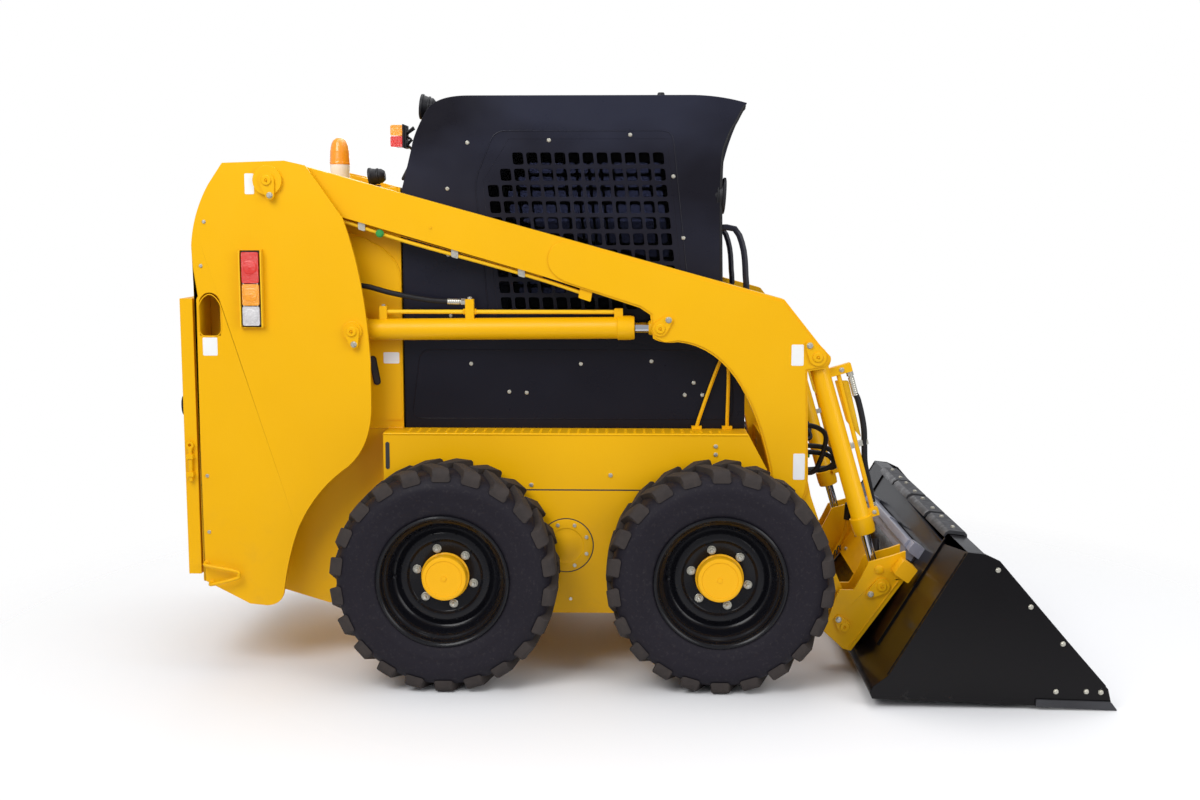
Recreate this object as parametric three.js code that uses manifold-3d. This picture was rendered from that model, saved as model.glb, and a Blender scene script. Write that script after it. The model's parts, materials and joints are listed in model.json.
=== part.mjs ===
// Skid steer loader with a general purpose bucket. Millimetres; +X forward, +Y left, +Z up.
// X is measured from the rear axle and Z from the ground. The last step moves the whole machine
// so that its origin is the bottom centre of its bounding box.
import * as THREE from "three";
import { mergeVertices } from "three/addons/utils/BufferGeometryUtils.js";
import Module from "manifold-3d";

const wasm = await Module();
wasm.setup();

// ---------------------------------------------------------------- driving dimensions
const wheelbase = 930;
const tyreRadius = 386;
const tyreWidth = 264;
const tyreFacets = 36;
const rimFacets = 22;
const rimRadius = 222;
const hubRadius = 76;
const axleRadius = 45;
const cabHalfWidth = 400;
const armWidth = 94;
const armPlate = 12;
const sheet = 6; // cab and hood sheet metal
const bucketHalfWidth = 900;
const bucketSide = 12;
const rearReach = 926; // rear door's outer face, behind the rear axle
const bucketReach = 1287; // cutting edge's tip, ahead of the front axle
const chassisTop = 850;
const chassisBottom = 210;
const cabHeight = 2016;
const hoodTop = 1700;
const uprightTop = 1786;
const liftTubeRadius = 38;
const liftRodRadius = 20;
const tiltRodRadius = 16;
const pinRadius = 20;
const armPinRadius = 28;
const railRadius = 7;

// ---------------------------------------------------------------- clearances
const touch = 0.3; // between pieces that are fastened face to face
const pinGap = 0.5; // round a pin in its bore
const running = 6; // between pieces that pass each other

// ---------------------------------------------------------------- layers across the machine
const inner = [cabHalfWidth + 2, cabHalfWidth + 14]; // inner upright plate
const armIn = cabHalfWidth + 28;
const armOut = armIn + armWidth;
const armMid = (armIn + armOut) / 2;
const caseOut = armOut + 8; // chain case outer face
const tyreIn = caseOut + running;
const outer = [armOut + 23, armOut + 35]; // outer upright plate
const lugOut = [armOut, armOut + armPlate];
const lugIn = [armIn - armPlate, armIn];

// ---------------------------------------------------------------- places along the machine
const front = wheelbase;
const axleHeight = tyreRadius * Math.cos(Math.PI / tyreFacets);
const armPivot = [-608, 1719];
const liftBase = [-330, 1206];
const liftEye = [front - 202, 1215];
const tiltBase = [front + 340, 1118];
const tiltEye = [front + 576, 316];
const bucketPivot = [front + 450, 170];
const cabFront = front + 101;
const cabRear = -178;
// Two points on the curve where the outer upright plate clears the rear tyre.
const archTop = { x: -(tyreRadius - 31), z: axleHeight + tyreRadius - 36.5 };
const archFoot = { x: -(tyreRadius + 147), z: axleHeight + 134.5 };

// ---------------------------------------------------------------- materials
const paint = (color, roughness, metalness = 0) =>
  new THREE.MeshStandardMaterial({ color, roughness, metalness });
const yellow = paint(0xf4b400, 0.35);
const black = paint(0x14151a, 0.3);
const rubber = paint(0x2b2a2d, 0.8);
const steel = paint(0xb9bcc2, 0.25, 1);
const darkIron = paint(0x3b3c40, 0.6, 0.4);
const vinyl = paint(0x1d1d20, 0.55);
const amber = paint(0xf08a10, 0.2);
const redLens = paint(0xc41f1a, 0.2);

// ---------------------------------------------------------------- solid helpers
const toSolid = (geometry) => {
  const bare = geometry.index ? geometry.toNonIndexed() : geometry.clone();
  bare.deleteAttribute("normal");
  bare.deleteAttribute("uv");
  const merged = mergeVertices(bare, 1e-4);
  const mesh = new wasm.Mesh({
    numProp: 3,
    vertProperties: Float32Array.from(merged.attributes.position.array),
    triVerts: Uint32Array.from(merged.index.array),
  });
  return new wasm.Manifold(mesh);
};

const toGeometry = (solid) => {
  const mesh = solid.getMesh();
  const geometry = new THREE.BufferGeometry();
  geometry.setAttribute("position", new THREE.BufferAttribute(mesh.vertProperties, 3));
  geometry.setIndex(new THREE.BufferAttribute(mesh.triVerts, 1));
  geometry.computeVertexNormals();
  return geometry;
};

const join = (...solids) => solids.reduce((a, b) => a.add(b));
const cut = (solid, ...tools) => tools.reduce((a, b) => a.subtract(b), solid);

// An outline in the XZ plane, pushed through from y0 to y1.
const slab = (outline, y0, y1, curveSegments = 10) => {
  const shape = outline instanceof THREE.Shape ? outline : polygon(outline);
  const geometry = new THREE.ExtrudeGeometry(shape, {
    depth: y1 - y0,
    bevelEnabled: false,
    curveSegments,
  });
  geometry.rotateX(Math.PI / 2);
  geometry.translate(0, y1, 0);
  return toSolid(geometry);
};

const polygon = (points) => new THREE.Shape(points.map(([x, z]) => new THREE.Vector2(x, z)));

// The same outline with each corner rounded by an arc-like curve that starts `radius` from it.
const roundedPolygon = (points, radius) => {
  const shape = new THREE.Shape();
  const count = points.length;
  points.forEach(([x, z], i) => {
    const corner = new THREE.Vector2(x, z);
    const before = new THREE.Vector2(...points[(i + count - 1) % count]);
    const after = new THREE.Vector2(...points[(i + 1) % count]);
    const into = before.sub(corner).setLength(radius).add(corner);
    const out = after.sub(corner).setLength(radius).add(corner);
    if (i === 0) shape.moveTo(into.x, into.y);
    else shape.lineTo(into.x, into.y);
    shape.quadraticCurveTo(x, z, out.x, out.y);
  });
  shape.closePath();
  return shape;
};

const box = (x0, x1, y0, y1, z0, z1) => {
  const geometry = new THREE.BoxGeometry(x1 - x0, y1 - y0, z1 - z0);
  geometry.translate((x0 + x1) / 2, (y0 + y1) / 2, (z0 + z1) / 2);
  return toSolid(geometry);
};

// A round bar along Y at (x, z).
const pin = ([x, z], radius, y0, y1, segments = 20) => {
  const geometry = new THREE.CylinderGeometry(radius, radius, y1 - y0, segments);
  geometry.translate(x, (y0 + y1) / 2, z);
  return toSolid(geometry);
};

// A turned profile of [radius, along] points about the Y axis.
const turned = (profile, segments) => {
  const points = profile.map(([radius, along]) => new THREE.Vector2(radius, along));
  return new THREE.LatheGeometry(points, segments);
};

// A round bar along a smooth curve through the points.
const bentBar = (points, radius, segments, steps) => {
  const vectors = points.map((point) => new THREE.Vector3(...point));
  const curve = new THREE.CatmullRomCurve3(vectors, false, "centripetal");
  const shape = new THREE.Shape();
  shape.absarc(0, 0, radius, 0, 2 * Math.PI);
  const geometry = new THREE.ExtrudeGeometry(shape, {
    steps,
    curveSegments: segments,
    extrudePath: curve,
  });
  return toSolid(geometry);
};

// The layer [y0, y1] on the side given by sign: -1 is right, +1 is left.
const layer = (sign, [near, far]) => (sign > 0 ? [near, far] : [-far, -near]);
const onSide = (sign, outline, span, segments) => slab(outline, ...layer(sign, span), segments);
const pinOnSide = (sign, centre, radius, span, segments) =>
  pin(centre, radius, ...layer(sign, span), segments);
const boxOnSide = (sign, x0, x1, span, z0, z1) => box(x0, x1, ...layer(sign, span), z0, z1);

const between = (a, b) => Math.hypot(b[0] - a[0], b[1] - a[1]);

const machine = new THREE.Group();
const sides = [["right", -1], ["left", 1]];

// Adds a solid to the machine, or to a group of it, as a named mesh.
const place = (name, solid, material, parent = machine) => {
  const geometry = solid instanceof THREE.BufferGeometry ? solid : toGeometry(solid);
  const mesh = new THREE.Mesh(geometry, material);
  mesh.name = name;
  parent.add(mesh);
  return mesh;
};

// ---------------------------------------------------------------- chassis
// The welded tub: belly plate, side walls, chain cases, front plate and a cab floor.
const wall = [cabHalfWidth - 12, cabHalfWidth + 14];
const plate = 12; // belly, front and rear plates
const tubRear = -862;
const bellyRear = -463;
const tubOutline = [
  [tubRear, chassisTop],
  [tubRear, 330],
  [-616, 257],
  [bellyRear, chassisBottom],
  [front + 120, chassisBottom],
  [front + 160, 300],
  [front + 160, 700],
  [front + 101, chassisTop],
];
const caseOutline = [
  [-236, chassisTop],
  [-236, chassisBottom],
  [front + 120, chassisBottom],
  [front + 165, 300],
  [front + 172, 725],
  [front + 105, chassisTop],
];
const bellyTop = chassisBottom + plate;
const floorFront = front + 150;
const floorRear = front - 340;
const floorBottom = 500;
const floorTop = floorBottom + sheet;
const slopingBelly = [
  [tubRear, 330],
  [-616, 257],
  [bellyRear, chassisBottom],
  [bellyRear, bellyTop],
  [-616, 257 + plate],
  [tubRear, 330 + plate],
];
const frontPlate = [
  [front + 120 - plate, chassisBottom],
  [front + 120, chassisBottom],
  [front + 160, 300],
  [front + 160, 620],
  [front + 160 - plate, 620],
  [front + 160 - plate, 303],
];
const tubSpan = [-wall[0] - 1, wall[0] + 1];
const chassisParts = [
  box(bellyRear, front + 120, ...tubSpan, chassisBottom, bellyTop),
  box(floorRear, floorFront, ...tubSpan, floorBottom, floorTop),
  box(tubRear, tubRear + plate, ...tubSpan, 700, chassisTop),
  slab(slopingBelly, ...tubSpan),
  slab(frontPlate, ...tubSpan),
];
for (const [, sign] of sides) {
  chassisParts.push(onSide(sign, tubOutline, wall));
  chassisParts.push(onSide(sign, caseOutline, [wall[1] - 1, caseOut]));
}
place("chassis_frame", join(...chassisParts), yellow);

// The engine, as one plain block on the belly plate.
const engineRear = -440;
const engineFront = -20;
const blockTop = 620;
const headInset = 60;
const headTop = 780;
const crankcase = box(engineRear, engineFront, -300, 300, bellyTop + touch, blockTop);
const head = box(engineRear + headInset, engineFront - headInset, -160, 160, blockTop - 1, headTop);
place("engine_block", join(crankcase, head), darkIron);

// ---------------------------------------------------------------- rear uprights
// Each is an inner and an outer plate, joined along the rear edge, with the arm between them.
const uprightOutline = () => {
  const shape = new THREE.Shape();
  shape.moveTo(-875, 1321);
  shape.lineTo(-879, 1500);
  shape.quadraticCurveTo(-870, 1610, -814, 1706);
  shape.lineTo(-764, 1779);
  shape.lineTo(-552, uprightTop);
  shape.lineTo(-481, uprightTop - 16);
  shape.lineTo(-358, 1595);
  shape.quadraticCurveTo(-285, 1400, -270, 1100);
  shape.lineTo(-270, 960);
  shape.quadraticCurveTo(-268, 810, archTop.x, archTop.z);
  shape.quadraticCurveTo(-470, 655, archFoot.x, archFoot.z);
  shape.quadraticCurveTo(-572, 420, -589, 301);
  shape.quadraticCurveTo(-592, 240, -652, 237);
  shape.lineTo(-713, 243);
  shape.lineTo(-870, 325);
  shape.closePath();
  return shape;
};
const innerOutline = [
  [tubRear, chassisTop + touch],
  [tubRear, 1540],
  [-844, 1615],
  [-806, 1698],
  [-760, 1766],
  [-560, 1780],
  [-400, 1712],
  [cabRear - 4, 1600],
  [cabRear - 4, chassisTop + touch],
];
// The plate that joins the two along their rear and top edges, clear of the tub's rear end.
const rearEdgeOutline = [
  [-875, 325],
  [tubRear - touch, 322],
  [tubRear - touch, 1490],
  [-856, 1545],
  [-838, 1612],
  [-800, 1695],
  [-756, 1765],
  [-700, 1770],
  [-700, 1779],
  [-764, 1775],
  [-812, 1705],
  [-851, 1620],
  [-870, 1545],
  [-876, 1490],
];
const vent = { rear: -858, front: -786, bottom: 1190, top: 1338 };
const ventOutline = () => {
  const radius = (vent.front - vent.rear) / 2;
  const shape = new THREE.Shape();
  shape.moveTo(vent.rear, vent.bottom);
  shape.lineTo(vent.front, vent.bottom);
  shape.absarc(vent.rear + radius, vent.top - radius, radius, 0, Math.PI, false);
  shape.closePath();
  return shape;
};
const lampBox = { rear: -703, front: -641, bottom: 1225, top: 1479, depth: 28 };
for (const [name, sign] of sides) {
  const plates = join(
    onSide(sign, uprightOutline(), outer, 18),
    onSide(sign, innerOutline, inner),
    onSide(sign, rearEdgeOutline, [inner[0], outer[1]]),
    pinOnSide(sign, armPivot, armPinRadius, [inner[1] - 1, outer[0] + 1]),
    pinOnSide(sign, armPivot, armPinRadius + 22, [outer[1] - 1, outer[1] + 14]),
    pinOnSide(sign, liftBase, pinRadius, [inner[1] - 1, outer[0] + 1]),
    pinOnSide(sign, liftBase, pinRadius + 14, [outer[1] - 1, outer[1] + 10]),
  );
  const ventHole = onSide(sign, ventOutline(), [outer[0] - 5, outer[1] + 5], 12);
  place(`upright_${name}`, cut(plates, ventHole), yellow);
  const lampSpan = [outer[1] + touch, outer[1] + lampBox.depth];
  place(
    `tail_lamp_${name}`,
    boxOnSide(sign, lampBox.rear, lampBox.front, lampSpan, lampBox.bottom, lampBox.top),
    redLens,
  );
}

// ---------------------------------------------------------------- rear door and hood
// The door is a steel pan, hung on two pins at its left edge.
const doorTop = 1318;
const doorBottom = 350;
const doorFront = -882;
const doorRim = 40;
const doorHalf = outer[1];
const doorHinge = [-900, doorHalf + 16];
const knuckleRadius = 12;
const knuckleHeight = 40;
const knuckle = (z0, z1) => {
  const geometry = new THREE.CylinderGeometry(knuckleRadius, knuckleRadius, z1 - z0, 12);
  geometry.rotateX(Math.PI / 2);
  geometry.translate(...doorHinge, (z0 + z1) / 2);
  return toSolid(geometry);
};
const doorPan = cut(
  box(-rearReach, doorFront, -doorHalf, doorHalf, doorBottom, doorTop),
  box(
    -rearReach + sheet,
    doorFront + 5,
    -doorHalf + doorRim,
    doorHalf - doorRim,
    doorBottom + doorRim,
    doorTop - doorRim,
  ),
);
// Each hinge has a fixed knuckle on the left upright and the door's own knuckle on top of it.
const hingeHeights = [560, 1120];
const doorParts = [doorPan];
hingeHeights.forEach((z, i) => {
  const doorKnuckleTop = z + knuckleHeight + 4;
  doorParts.push(knuckle(z, doorKnuckleTop));
  doorParts.push(box(-rearReach + 6, doorHinge[0], doorHalf - 1, doorHinge[1], z, doorKnuckleTop));
  const fixedTop = z - pinGap;
  const fixedBottom = fixedTop - knuckleHeight;
  const leaf = box(doorHinge[0], -840, outer[1] + touch, doorHinge[1] + 6, fixedBottom, fixedTop);
  place(`door_hinge_${i + 1}`, join(knuckle(fixedBottom, fixedTop), leaf), yellow);
});
place("rear_door", join(...doorParts), yellow);

const hoodHalf = inner[0] - running;
const hoodRear = -872;
const hoodFront = cabRear - 14;
const hoodOutline = [
  [hoodRear, doorTop + 8],
  [hoodRear, hoodTop - 150],
  [hoodRear + 90, hoodTop],
  [hoodFront, hoodTop],
  [hoodFront, hoodTop - 90],
  [hoodFront - 60, hoodTop - 190],
  [hoodRear + 40, doorTop + 8],
];
const hoodHollow = [
  [hoodRear + sheet, doorTop - 10],
  [hoodRear + sheet, hoodTop - 152],
  [hoodRear + 92, hoodTop - sheet],
  [hoodFront - sheet, hoodTop - sheet],
  [hoodFront - sheet, hoodTop - 300],
];
place(
  "hood",
  cut(
    slab(hoodOutline, -hoodHalf, hoodHalf),
    slab(hoodHollow, -hoodHalf + sheet, hoodHalf - sheet),
  ),
  yellow,
);
// The hood's hinge rail, across the front of the engine bay between the inner plates.
place(
  "hood_hinge_rail",
  box(hoodFront + 2 * touch, cabRear - 5, -inner[0] + touch, inner[0] - touch, 900, hoodTop),
  yellow,
);

const beaconX = -476;
const beaconProfile = [
  [0, 0],
  [42, 0],
  [42, 30],
  [36, 34],
  [36, 96],
  [38, 100],
  [38, 150],
  [30, 178],
  [16, 194],
  [0, 197],
];
const beacon = turned(beaconProfile, 20);
beacon.rotateX(Math.PI / 2);
beacon.translate(beaconX, 0, hoodTop + touch);
place("beacon", toSolid(beacon), amber);

// ---------------------------------------------------------------- cab
const sideOutline = () => {
  const shape = new THREE.Shape();
  shape.moveTo(cabRear, chassisTop + touch);
  shape.lineTo(cabFront, chassisTop + touch);
  shape.lineTo(cabFront, 1026);
  shape.quadraticCurveTo(front + 18, 1180, front + 16, 1344);
  shape.lineTo(front + 12, 1759);
  shape.quadraticCurveTo(front + 35, 1880, front + 97, cabHeight - 28);
  shape.quadraticCurveTo(front, cabHeight, front - 103, cabHeight);
  shape.lineTo(60, cabHeight);
  shape.quadraticCurveTo(-60, cabHeight, -90, 1960);
  shape.quadraticCurveTo(-135, 1880, -140, 1840);
  shape.lineTo(cabRear, 1690);
  shape.closePath();
  return shape;
};
// The side window leans with the cab's front post. Its punched screen lies flush in it.
const windowOutline = (grow) => [
  [200 - grow, 1866 + grow],
  [front - 178 + grow, 1866 + grow],
  [front - 112 + grow, 1250 - grow],
  [158 - grow, 1250 - grow],
  [108 - grow, 1720],
];
const postOutline = [
  [front + 5, 1344],
  [front + 2, 1759],
  [front + 25, 1880],
  [front + 60, 1965],
  [front + 10, 1975],
  [front - 42, 1830],
  [front - 40, 1344],
  [front - 10, 1150],
  [front + 46, 1010],
  [front + 46, chassisTop + touch],
  [front + 92, chassisTop + touch],
  [front + 92, 1022],
  [front + 30, 1140],
];
for (const [name, sign] of sides) {
  const skin = onSide(sign, sideOutline(), [cabHalfWidth - sheet, cabHalfWidth], 12);
  const hole = onSide(sign, windowOutline(0), [cabHalfWidth - 2 * sheet, cabHalfWidth + sheet]);
  const post = onSide(sign, postOutline, [cabHalfWidth - 46, cabHalfWidth - sheet + 1]);
  place(`cab_side_${name}`, cut(join(skin, post), hole), black);
  place(
    `side_screen_${name}`,
    onSide(sign, windowOutline(-touch), [cabHalfWidth - sheet, cabHalfWidth]),
    black,
  );
}

const cabInner = cabHalfWidth - sheet - touch;
const roofOutline = [
  [-84, 1945],
  [-62, 1985],
  [-10, cabHeight - 6],
  [60, cabHeight - 1],
  [front - 103, cabHeight - 1],
  [front, cabHeight - 8],
  [front + 93, cabHeight - 29],
  [front + 88, cabHeight - 38],
  [front, cabHeight - 18],
  [front - 103, cabHeight - 11],
  [60, cabHeight - 11],
  [-2, cabHeight - 16],
  [-50, 1975],
  [-72, 1940],
];
place("cab_roof", slab(roofOutline, -cabInner, cabInner), black);
const backOutline = [
  [cabRear + 1, chassisTop + touch],
  [cabRear + 1, 1690],
  [-139, 1840],
  [-90, 1934],
  [-82, 1930],
  [-131, 1838],
  [cabRear + 1 + sheet, 1689],
  [cabRear + 1 + sheet, chassisTop + touch],
];
// The rear window is above the hood, in the part of the back that leans forward.
const rearWindow = box(cabRear - 20, -60, -290, 290, hoodTop + 12, 1905);
place("cab_back", cut(slab(backOutline, -cabInner, cabInner), rearWindow), black);

// ---------------------------------------------------------------- seat and controls
const seatBox = { rear: -10, front: floorRear - 2, half: cabInner - 6, top: chassisTop - 30, wall: 8 };
place(
  "seat_box",
  cut(
    box(seatBox.rear, seatBox.front, -seatBox.half, seatBox.half, bellyTop + touch, seatBox.top),
    box(
      seatBox.rear + seatBox.wall,
      seatBox.front - seatBox.wall,
      -seatBox.half + seatBox.wall,
      seatBox.half - seatBox.wall,
      bellyTop - 5,
      seatBox.top - seatBox.wall,
    ),
  ),
  black,
);
const seatRear = 150;
const seatFront = 560;
const seatTop = 860;
const padCorner = 24;
place("seat_base", box(60, seatFront - 20, -190, 190, seatBox.top + touch, seatTop), black);
const cushionCorners = [
  [seatRear, seatTop + touch],
  [seatFront, seatTop + touch],
  [seatFront, seatTop + 110],
  [seatRear, seatTop + 80],
];
place("seat_cushion", slab(roundedPolygon(cushionCorners, padCorner), -240, 240, 4), vinyl);
const backrestCorners = [
  [70, seatTop + touch],
  [145, seatTop + touch],
  [100, seatTop + 560],
  [10, seatTop + 560],
];
place("seat_backrest", slab(roundedPolygon(backrestCorners, padCorner), -230, 230, 4), vinyl);
const railFeet = [front - 69, front + 39];
const railTop = 1118;
for (const [name, sign] of sides) {
  const y = (distance) => sign * distance;
  const leverPath = [
    [front - 240, y(250), floorBottom + 50],
    [front - 250, y(252), 800],
    [front - 280, y(262), 1000],
    [front - 272, y(266), 1130],
  ];
  const leverBoot = boxOnSide(sign, front - 280, front - 200, [205, 295], floorTop + touch, floorTop + 54);
  place(`control_lever_${name}`, join(bentBar(leverPath, 14, 3, 8), leverBoot), darkIron);

  const footPlate = boxOnSide(sign, front - 70, front + 60, [110, 230], floorTop + 44, floorTop + 56);
  const pedalStem = boxOnSide(sign, front - 20, front + 10, [150, 190], floorTop + touch, floorTop + 45);
  place(`pedal_${name}`, join(footPlate, pedalStem), darkIron);

  const grabY = y(cabHalfWidth - 20);
  const grabPath = [
    [front + 5, grabY, 1560],
    [front + 60, grabY, 1556],
    [front + 88, grabY, 1500],
    [front + 100, grabY, 1400],
    [front + 96, grabY, 1312],
    [front + 12, grabY, 1304],
  ];
  place(`grab_handle_${name}`, bentBar(grabPath, 11, 4, 14), black);

  // The entry rail is one bar bent to an upturned V, on two foot pads beside the cab.
  const railY = y(cabHalfWidth + railRadius + running);
  const railPath = [
    [railFeet[0], railY, chassisTop + 8],
    [railFeet[0] + 6, railY, chassisTop + 30],
    [front + 16, railY, railTop - 18],
    [front + 28, railY, railTop],
    [front + 38, railY, railTop - 18],
    [railFeet[1], railY, chassisTop + 30],
    [railFeet[1], railY, chassisTop + 8],
  ];
  const padSpan = [cabHalfWidth + 3, armIn - running];
  const feet = railFeet.map((x) =>
    boxOnSide(sign, x - 18, x + 18, padSpan, chassisTop + touch, chassisTop + 12),
  );
  place(`entry_rail_${name}`, join(bentBar(railPath, railRadius, 3, 18), ...feet), yellow);
}

// ---------------------------------------------------------------- lift arms
const armEnd = 62;
const armOutline = () => {
  const [x, z] = armPivot;
  const shape = new THREE.Shape();
  shape.moveTo(front + 224, 1315);
  shape.lineTo(x + 118, z + 49);
  shape.absarc(x, z, armEnd, Math.PI / 2 - 0.1, 2 * Math.PI - 1.0, false);
  shape.lineTo(-364, 1595);
  shape.lineTo(front - 598, 1392);
  shape.lineTo(front - 272, 1286);
  shape.lineTo(front - 236, 1262);
  shape.lineTo(front - 226, 1180);
  shape.quadraticCurveTo(front - 190, 1160, front - 140, 1168);
  shape.quadraticCurveTo(front + 93, 1145, front + 182, 725);
  shape.lineTo(front + 190, 640);
  shape.quadraticCurveTo(front + 210, 598, front + 280, 598);
  shape.quadraticCurveTo(front + 310, 620, front + 315, 691);
  shape.lineTo(front + 307, 1068);
  shape.lineTo(front + 372, 1078);
  shape.quadraticCurveTo(front + 392, 1100, front + 385, 1120);
  shape.lineTo(front + 347, 1161);
  shape.closePath();
  return shape;
};
const footRadius = 48;
const footInset = 14;
const footOutline = () => {
  const [x, z] = bucketPivot;
  const shape = new THREE.Shape();
  shape.moveTo(front + 300, 760);
  shape.lineTo(front + 190, 760);
  shape.lineTo(front + 186, 640);
  shape.lineTo(front + 300, 430);
  shape.absarc(x, z, footRadius, Math.PI - 0.3, 2 * Math.PI + 0.15, false);
  shape.lineTo(front + 397, 407);
  shape.lineTo(front + 367, 514);
  shape.lineTo(front + 328, 628);
  shape.closePath();
  return shape;
};
// Slots between the arm's side plates, in which the cylinders' eyes swing.
const slotSpan = [armIn + armPlate, armOut - armPlate];
const eyeClear = 48;
const [liftX, liftZ] = liftEye;
const liftSlotOutline = [
  [liftX - 60, liftZ - 80],
  [liftX + 54, liftZ - 80],
  [liftX + 54, liftZ + 44],
  [liftX - 60, liftZ + 60],
];
const [tiltX, tiltZ] = tiltBase;
const tiltSlotOutline = [
  [tiltX - eyeClear, tiltZ],
  [tiltX - 30, tiltZ - 90],
  [tiltX + 140, tiltZ - 90],
  [tiltX + 100, tiltZ + 60],
  [tiltX, tiltZ + eyeClear],
];
for (const [name, sign] of sides) {
  const body = join(
    onSide(sign, armOutline(), [armIn, armOut], 14),
    onSide(sign, footOutline(), [armIn + footInset, armOut - footInset], 8),
    pinOnSide(sign, bucketPivot, footRadius - 8, [armIn + touch, armOut - touch]),
  );
  const liftSlot = onSide(sign, liftSlotOutline, slotSpan);
  const tiltSlot = join(
    pinOnSide(sign, tiltBase, eyeClear, slotSpan, 24),
    onSide(sign, tiltSlotOutline, slotSpan),
  );
  const holes = [
    pinOnSide(sign, armPivot, armPinRadius + pinGap, [armIn - 5, armOut + 5]),
    pinOnSide(sign, bucketPivot, pinRadius + pinGap, [armIn - 5, armOut + 5]),
  ];
  const tiltPin = pinOnSide(sign, tiltBase, pinRadius, [armIn + 1, armOut - 1]);
  place(`lift_arm_${name}`, join(cut(body, liftSlot, tiltSlot, ...holes), tiltPin), yellow);
}
const crossY = armIn - touch;
place("arm_crossmember", box(front + 205, front + 305, -crossY, crossY, 650, 750), yellow);

// ---------------------------------------------------------------- hydraulic cylinders
// Length along the cylinder axis runs from the base pin towards the rod's eye.
const halfSlot = (slotSpan[1] - slotSpan[0]) / 2;
const tiltTubeRadius = halfSlot - 2;
const rodPinRadius = 14;
const aim = (from, to, sign) => {
  const group = new THREE.Group();
  group.position.set(from[0], sign * armMid, from[1]);
  group.rotation.y = Math.atan2(-(to[1] - from[1]), to[0] - from[0]);
  machine.add(group);
  return group;
};
const alongX = (profile, segments) => {
  const geometry = turned(profile, segments);
  geometry.rotateZ(-Math.PI / 2);
  return toSolid(geometry);
};
// A tube bored from its gland back to `floor`, with an eye of `half` width each way on its pin.
const barrelSolid = ({ radius, bore, reach, floor, gland, glandLength, eye, half }) => {
  const profile = [
    [0, eye * 0.6],
    [radius, eye * 0.6],
    [radius, reach - glandLength],
    [gland, reach - glandLength],
    [gland, reach],
    [bore, reach],
    [bore, floor],
    [0, floor],
  ];
  const lug = pin([0, 0], eye, -half, half, 24);
  const hole = pin([0, 0], pinRadius + pinGap, -half - 5, half + 5, 20);
  return cut(join(alongX(profile, 24), lug), hole);
};
// A rod with an eye. Its pin reaches `stub` each way, just short of the lugs that hold it.
const rodSolid = ({ radius, length, eye, half, stub }) =>
  join(
    alongX([[0, -length], [radius, -length], [radius, -eye * 0.5], [0, -eye * 0.5]], 20),
    pin([0, 0], eye, -half, half, 24),
    pin([0, 0], rodPinRadius, -stub, stub, 12),
  );

const liftLength = between(liftBase, liftEye);
const tiltLength = between(tiltBase, tiltEye);
const cylinders = {
  lift: {
    ends: [liftBase, liftEye],
    barrel: {
      radius: liftTubeRadius,
      bore: liftRodRadius + touch,
      reach: liftLength - 88,
      floor: 180,
      gland: liftTubeRadius + 4,
      glandLength: 60,
      eye: 40,
      half: halfSlot - 5,
    },
    rod: {
      radius: liftRodRadius,
      length: liftLength - 198,
      eye: 33,
      half: halfSlot - 7,
      stub: halfSlot - touch,
    },
  },
  tilt: {
    ends: [tiltBase, tiltEye],
    barrel: {
      radius: tiltTubeRadius,
      bore: tiltRodRadius + touch,
      reach: tiltLength - 183,
      floor: 170,
      gland: tiltTubeRadius + 7,
      glandLength: 62,
      eye: 36,
      half: halfSlot - 5,
    },
    rod: {
      radius: tiltRodRadius,
      length: tiltLength - 236,
      eye: 26,
      half: halfSlot - 9,
      stub: armWidth / 2 - touch,
    },
  },
};
for (const [name, sign] of sides) {
  for (const [kind, { ends, barrel, rod }] of Object.entries(cylinders)) {
    const axis = aim(...ends, sign);
    place(`${kind}_barrel_${name}`, barrelSolid(barrel), yellow, axis);
    place(`${kind}_rod_${name}`, rodSolid(rod), steel, axis).position.x = between(...ends);
  }
}

// ---------------------------------------------------------------- hitch and bucket
// The hitch's mounting face leans back; the bucket hangs on its top and stands against it.
const hitchOutline = [
  [front + 379, 150],
  [front + 447, 88],
  [front + 475, 81],
  [front + 661, 343],
  [front + 658, 440],
  [front + 617, 425],
  [front + 531, 400],
  [front + 505, 345],
  [front + 480, 300],
  [front + 430, 300],
  [front + 418, 275],
];
const hitchFace = [[front + 475, 81], [front + 661, 343]];
const faceLength = between(...hitchFace);
const faceDir = [0, 1].map((axis) => (hitchFace[1][axis] - hitchFace[0][axis]) / faceLength);
// A point `along` the mounting face from its foot and `off` ahead of it.
const onFace = (along, off) => [
  hitchFace[0][0] + faceDir[0] * along + faceDir[1] * off,
  hitchFace[0][1] + faceDir[1] * along - faceDir[0] * off,
];
// A strip of plate between two distances along the face and two offsets from it.
const strip = (a0, a1, o0, o1) => [onFace(a0, o0), onFace(a0, o1), onFace(a1, o1), onFace(a1, o0)];
const hitchParts = [
  slab(strip(20, 90, -16, -1), -lugIn[1] + 2, lugIn[1] - 2),
  slab(strip(170, 300, -16, -1), -lugIn[0] - 2, lugIn[0] + 2),
];
for (const [, sign] of sides) {
  hitchParts.push(
    onSide(sign, hitchOutline, lugOut),
    onSide(sign, hitchOutline, lugIn),
    onSide(sign, strip(4, 76, -12, 0), [lugIn[0] + 1, lugOut[1] - 1]),
    pinOnSide(sign, bucketPivot, pinRadius, [lugIn[0] + 1, lugOut[1] + 10]),
    pinOnSide(sign, tiltEye, pinRadius + 6, [lugOut[1] - 1, lugOut[1] + 10]),
    onSide(sign, strip(318, 372, -60, -4), [lugOut[1] - 1, lugOut[1] + 62]),
  );
}
place("hitch_frame", join(...hitchParts), yellow);

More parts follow.
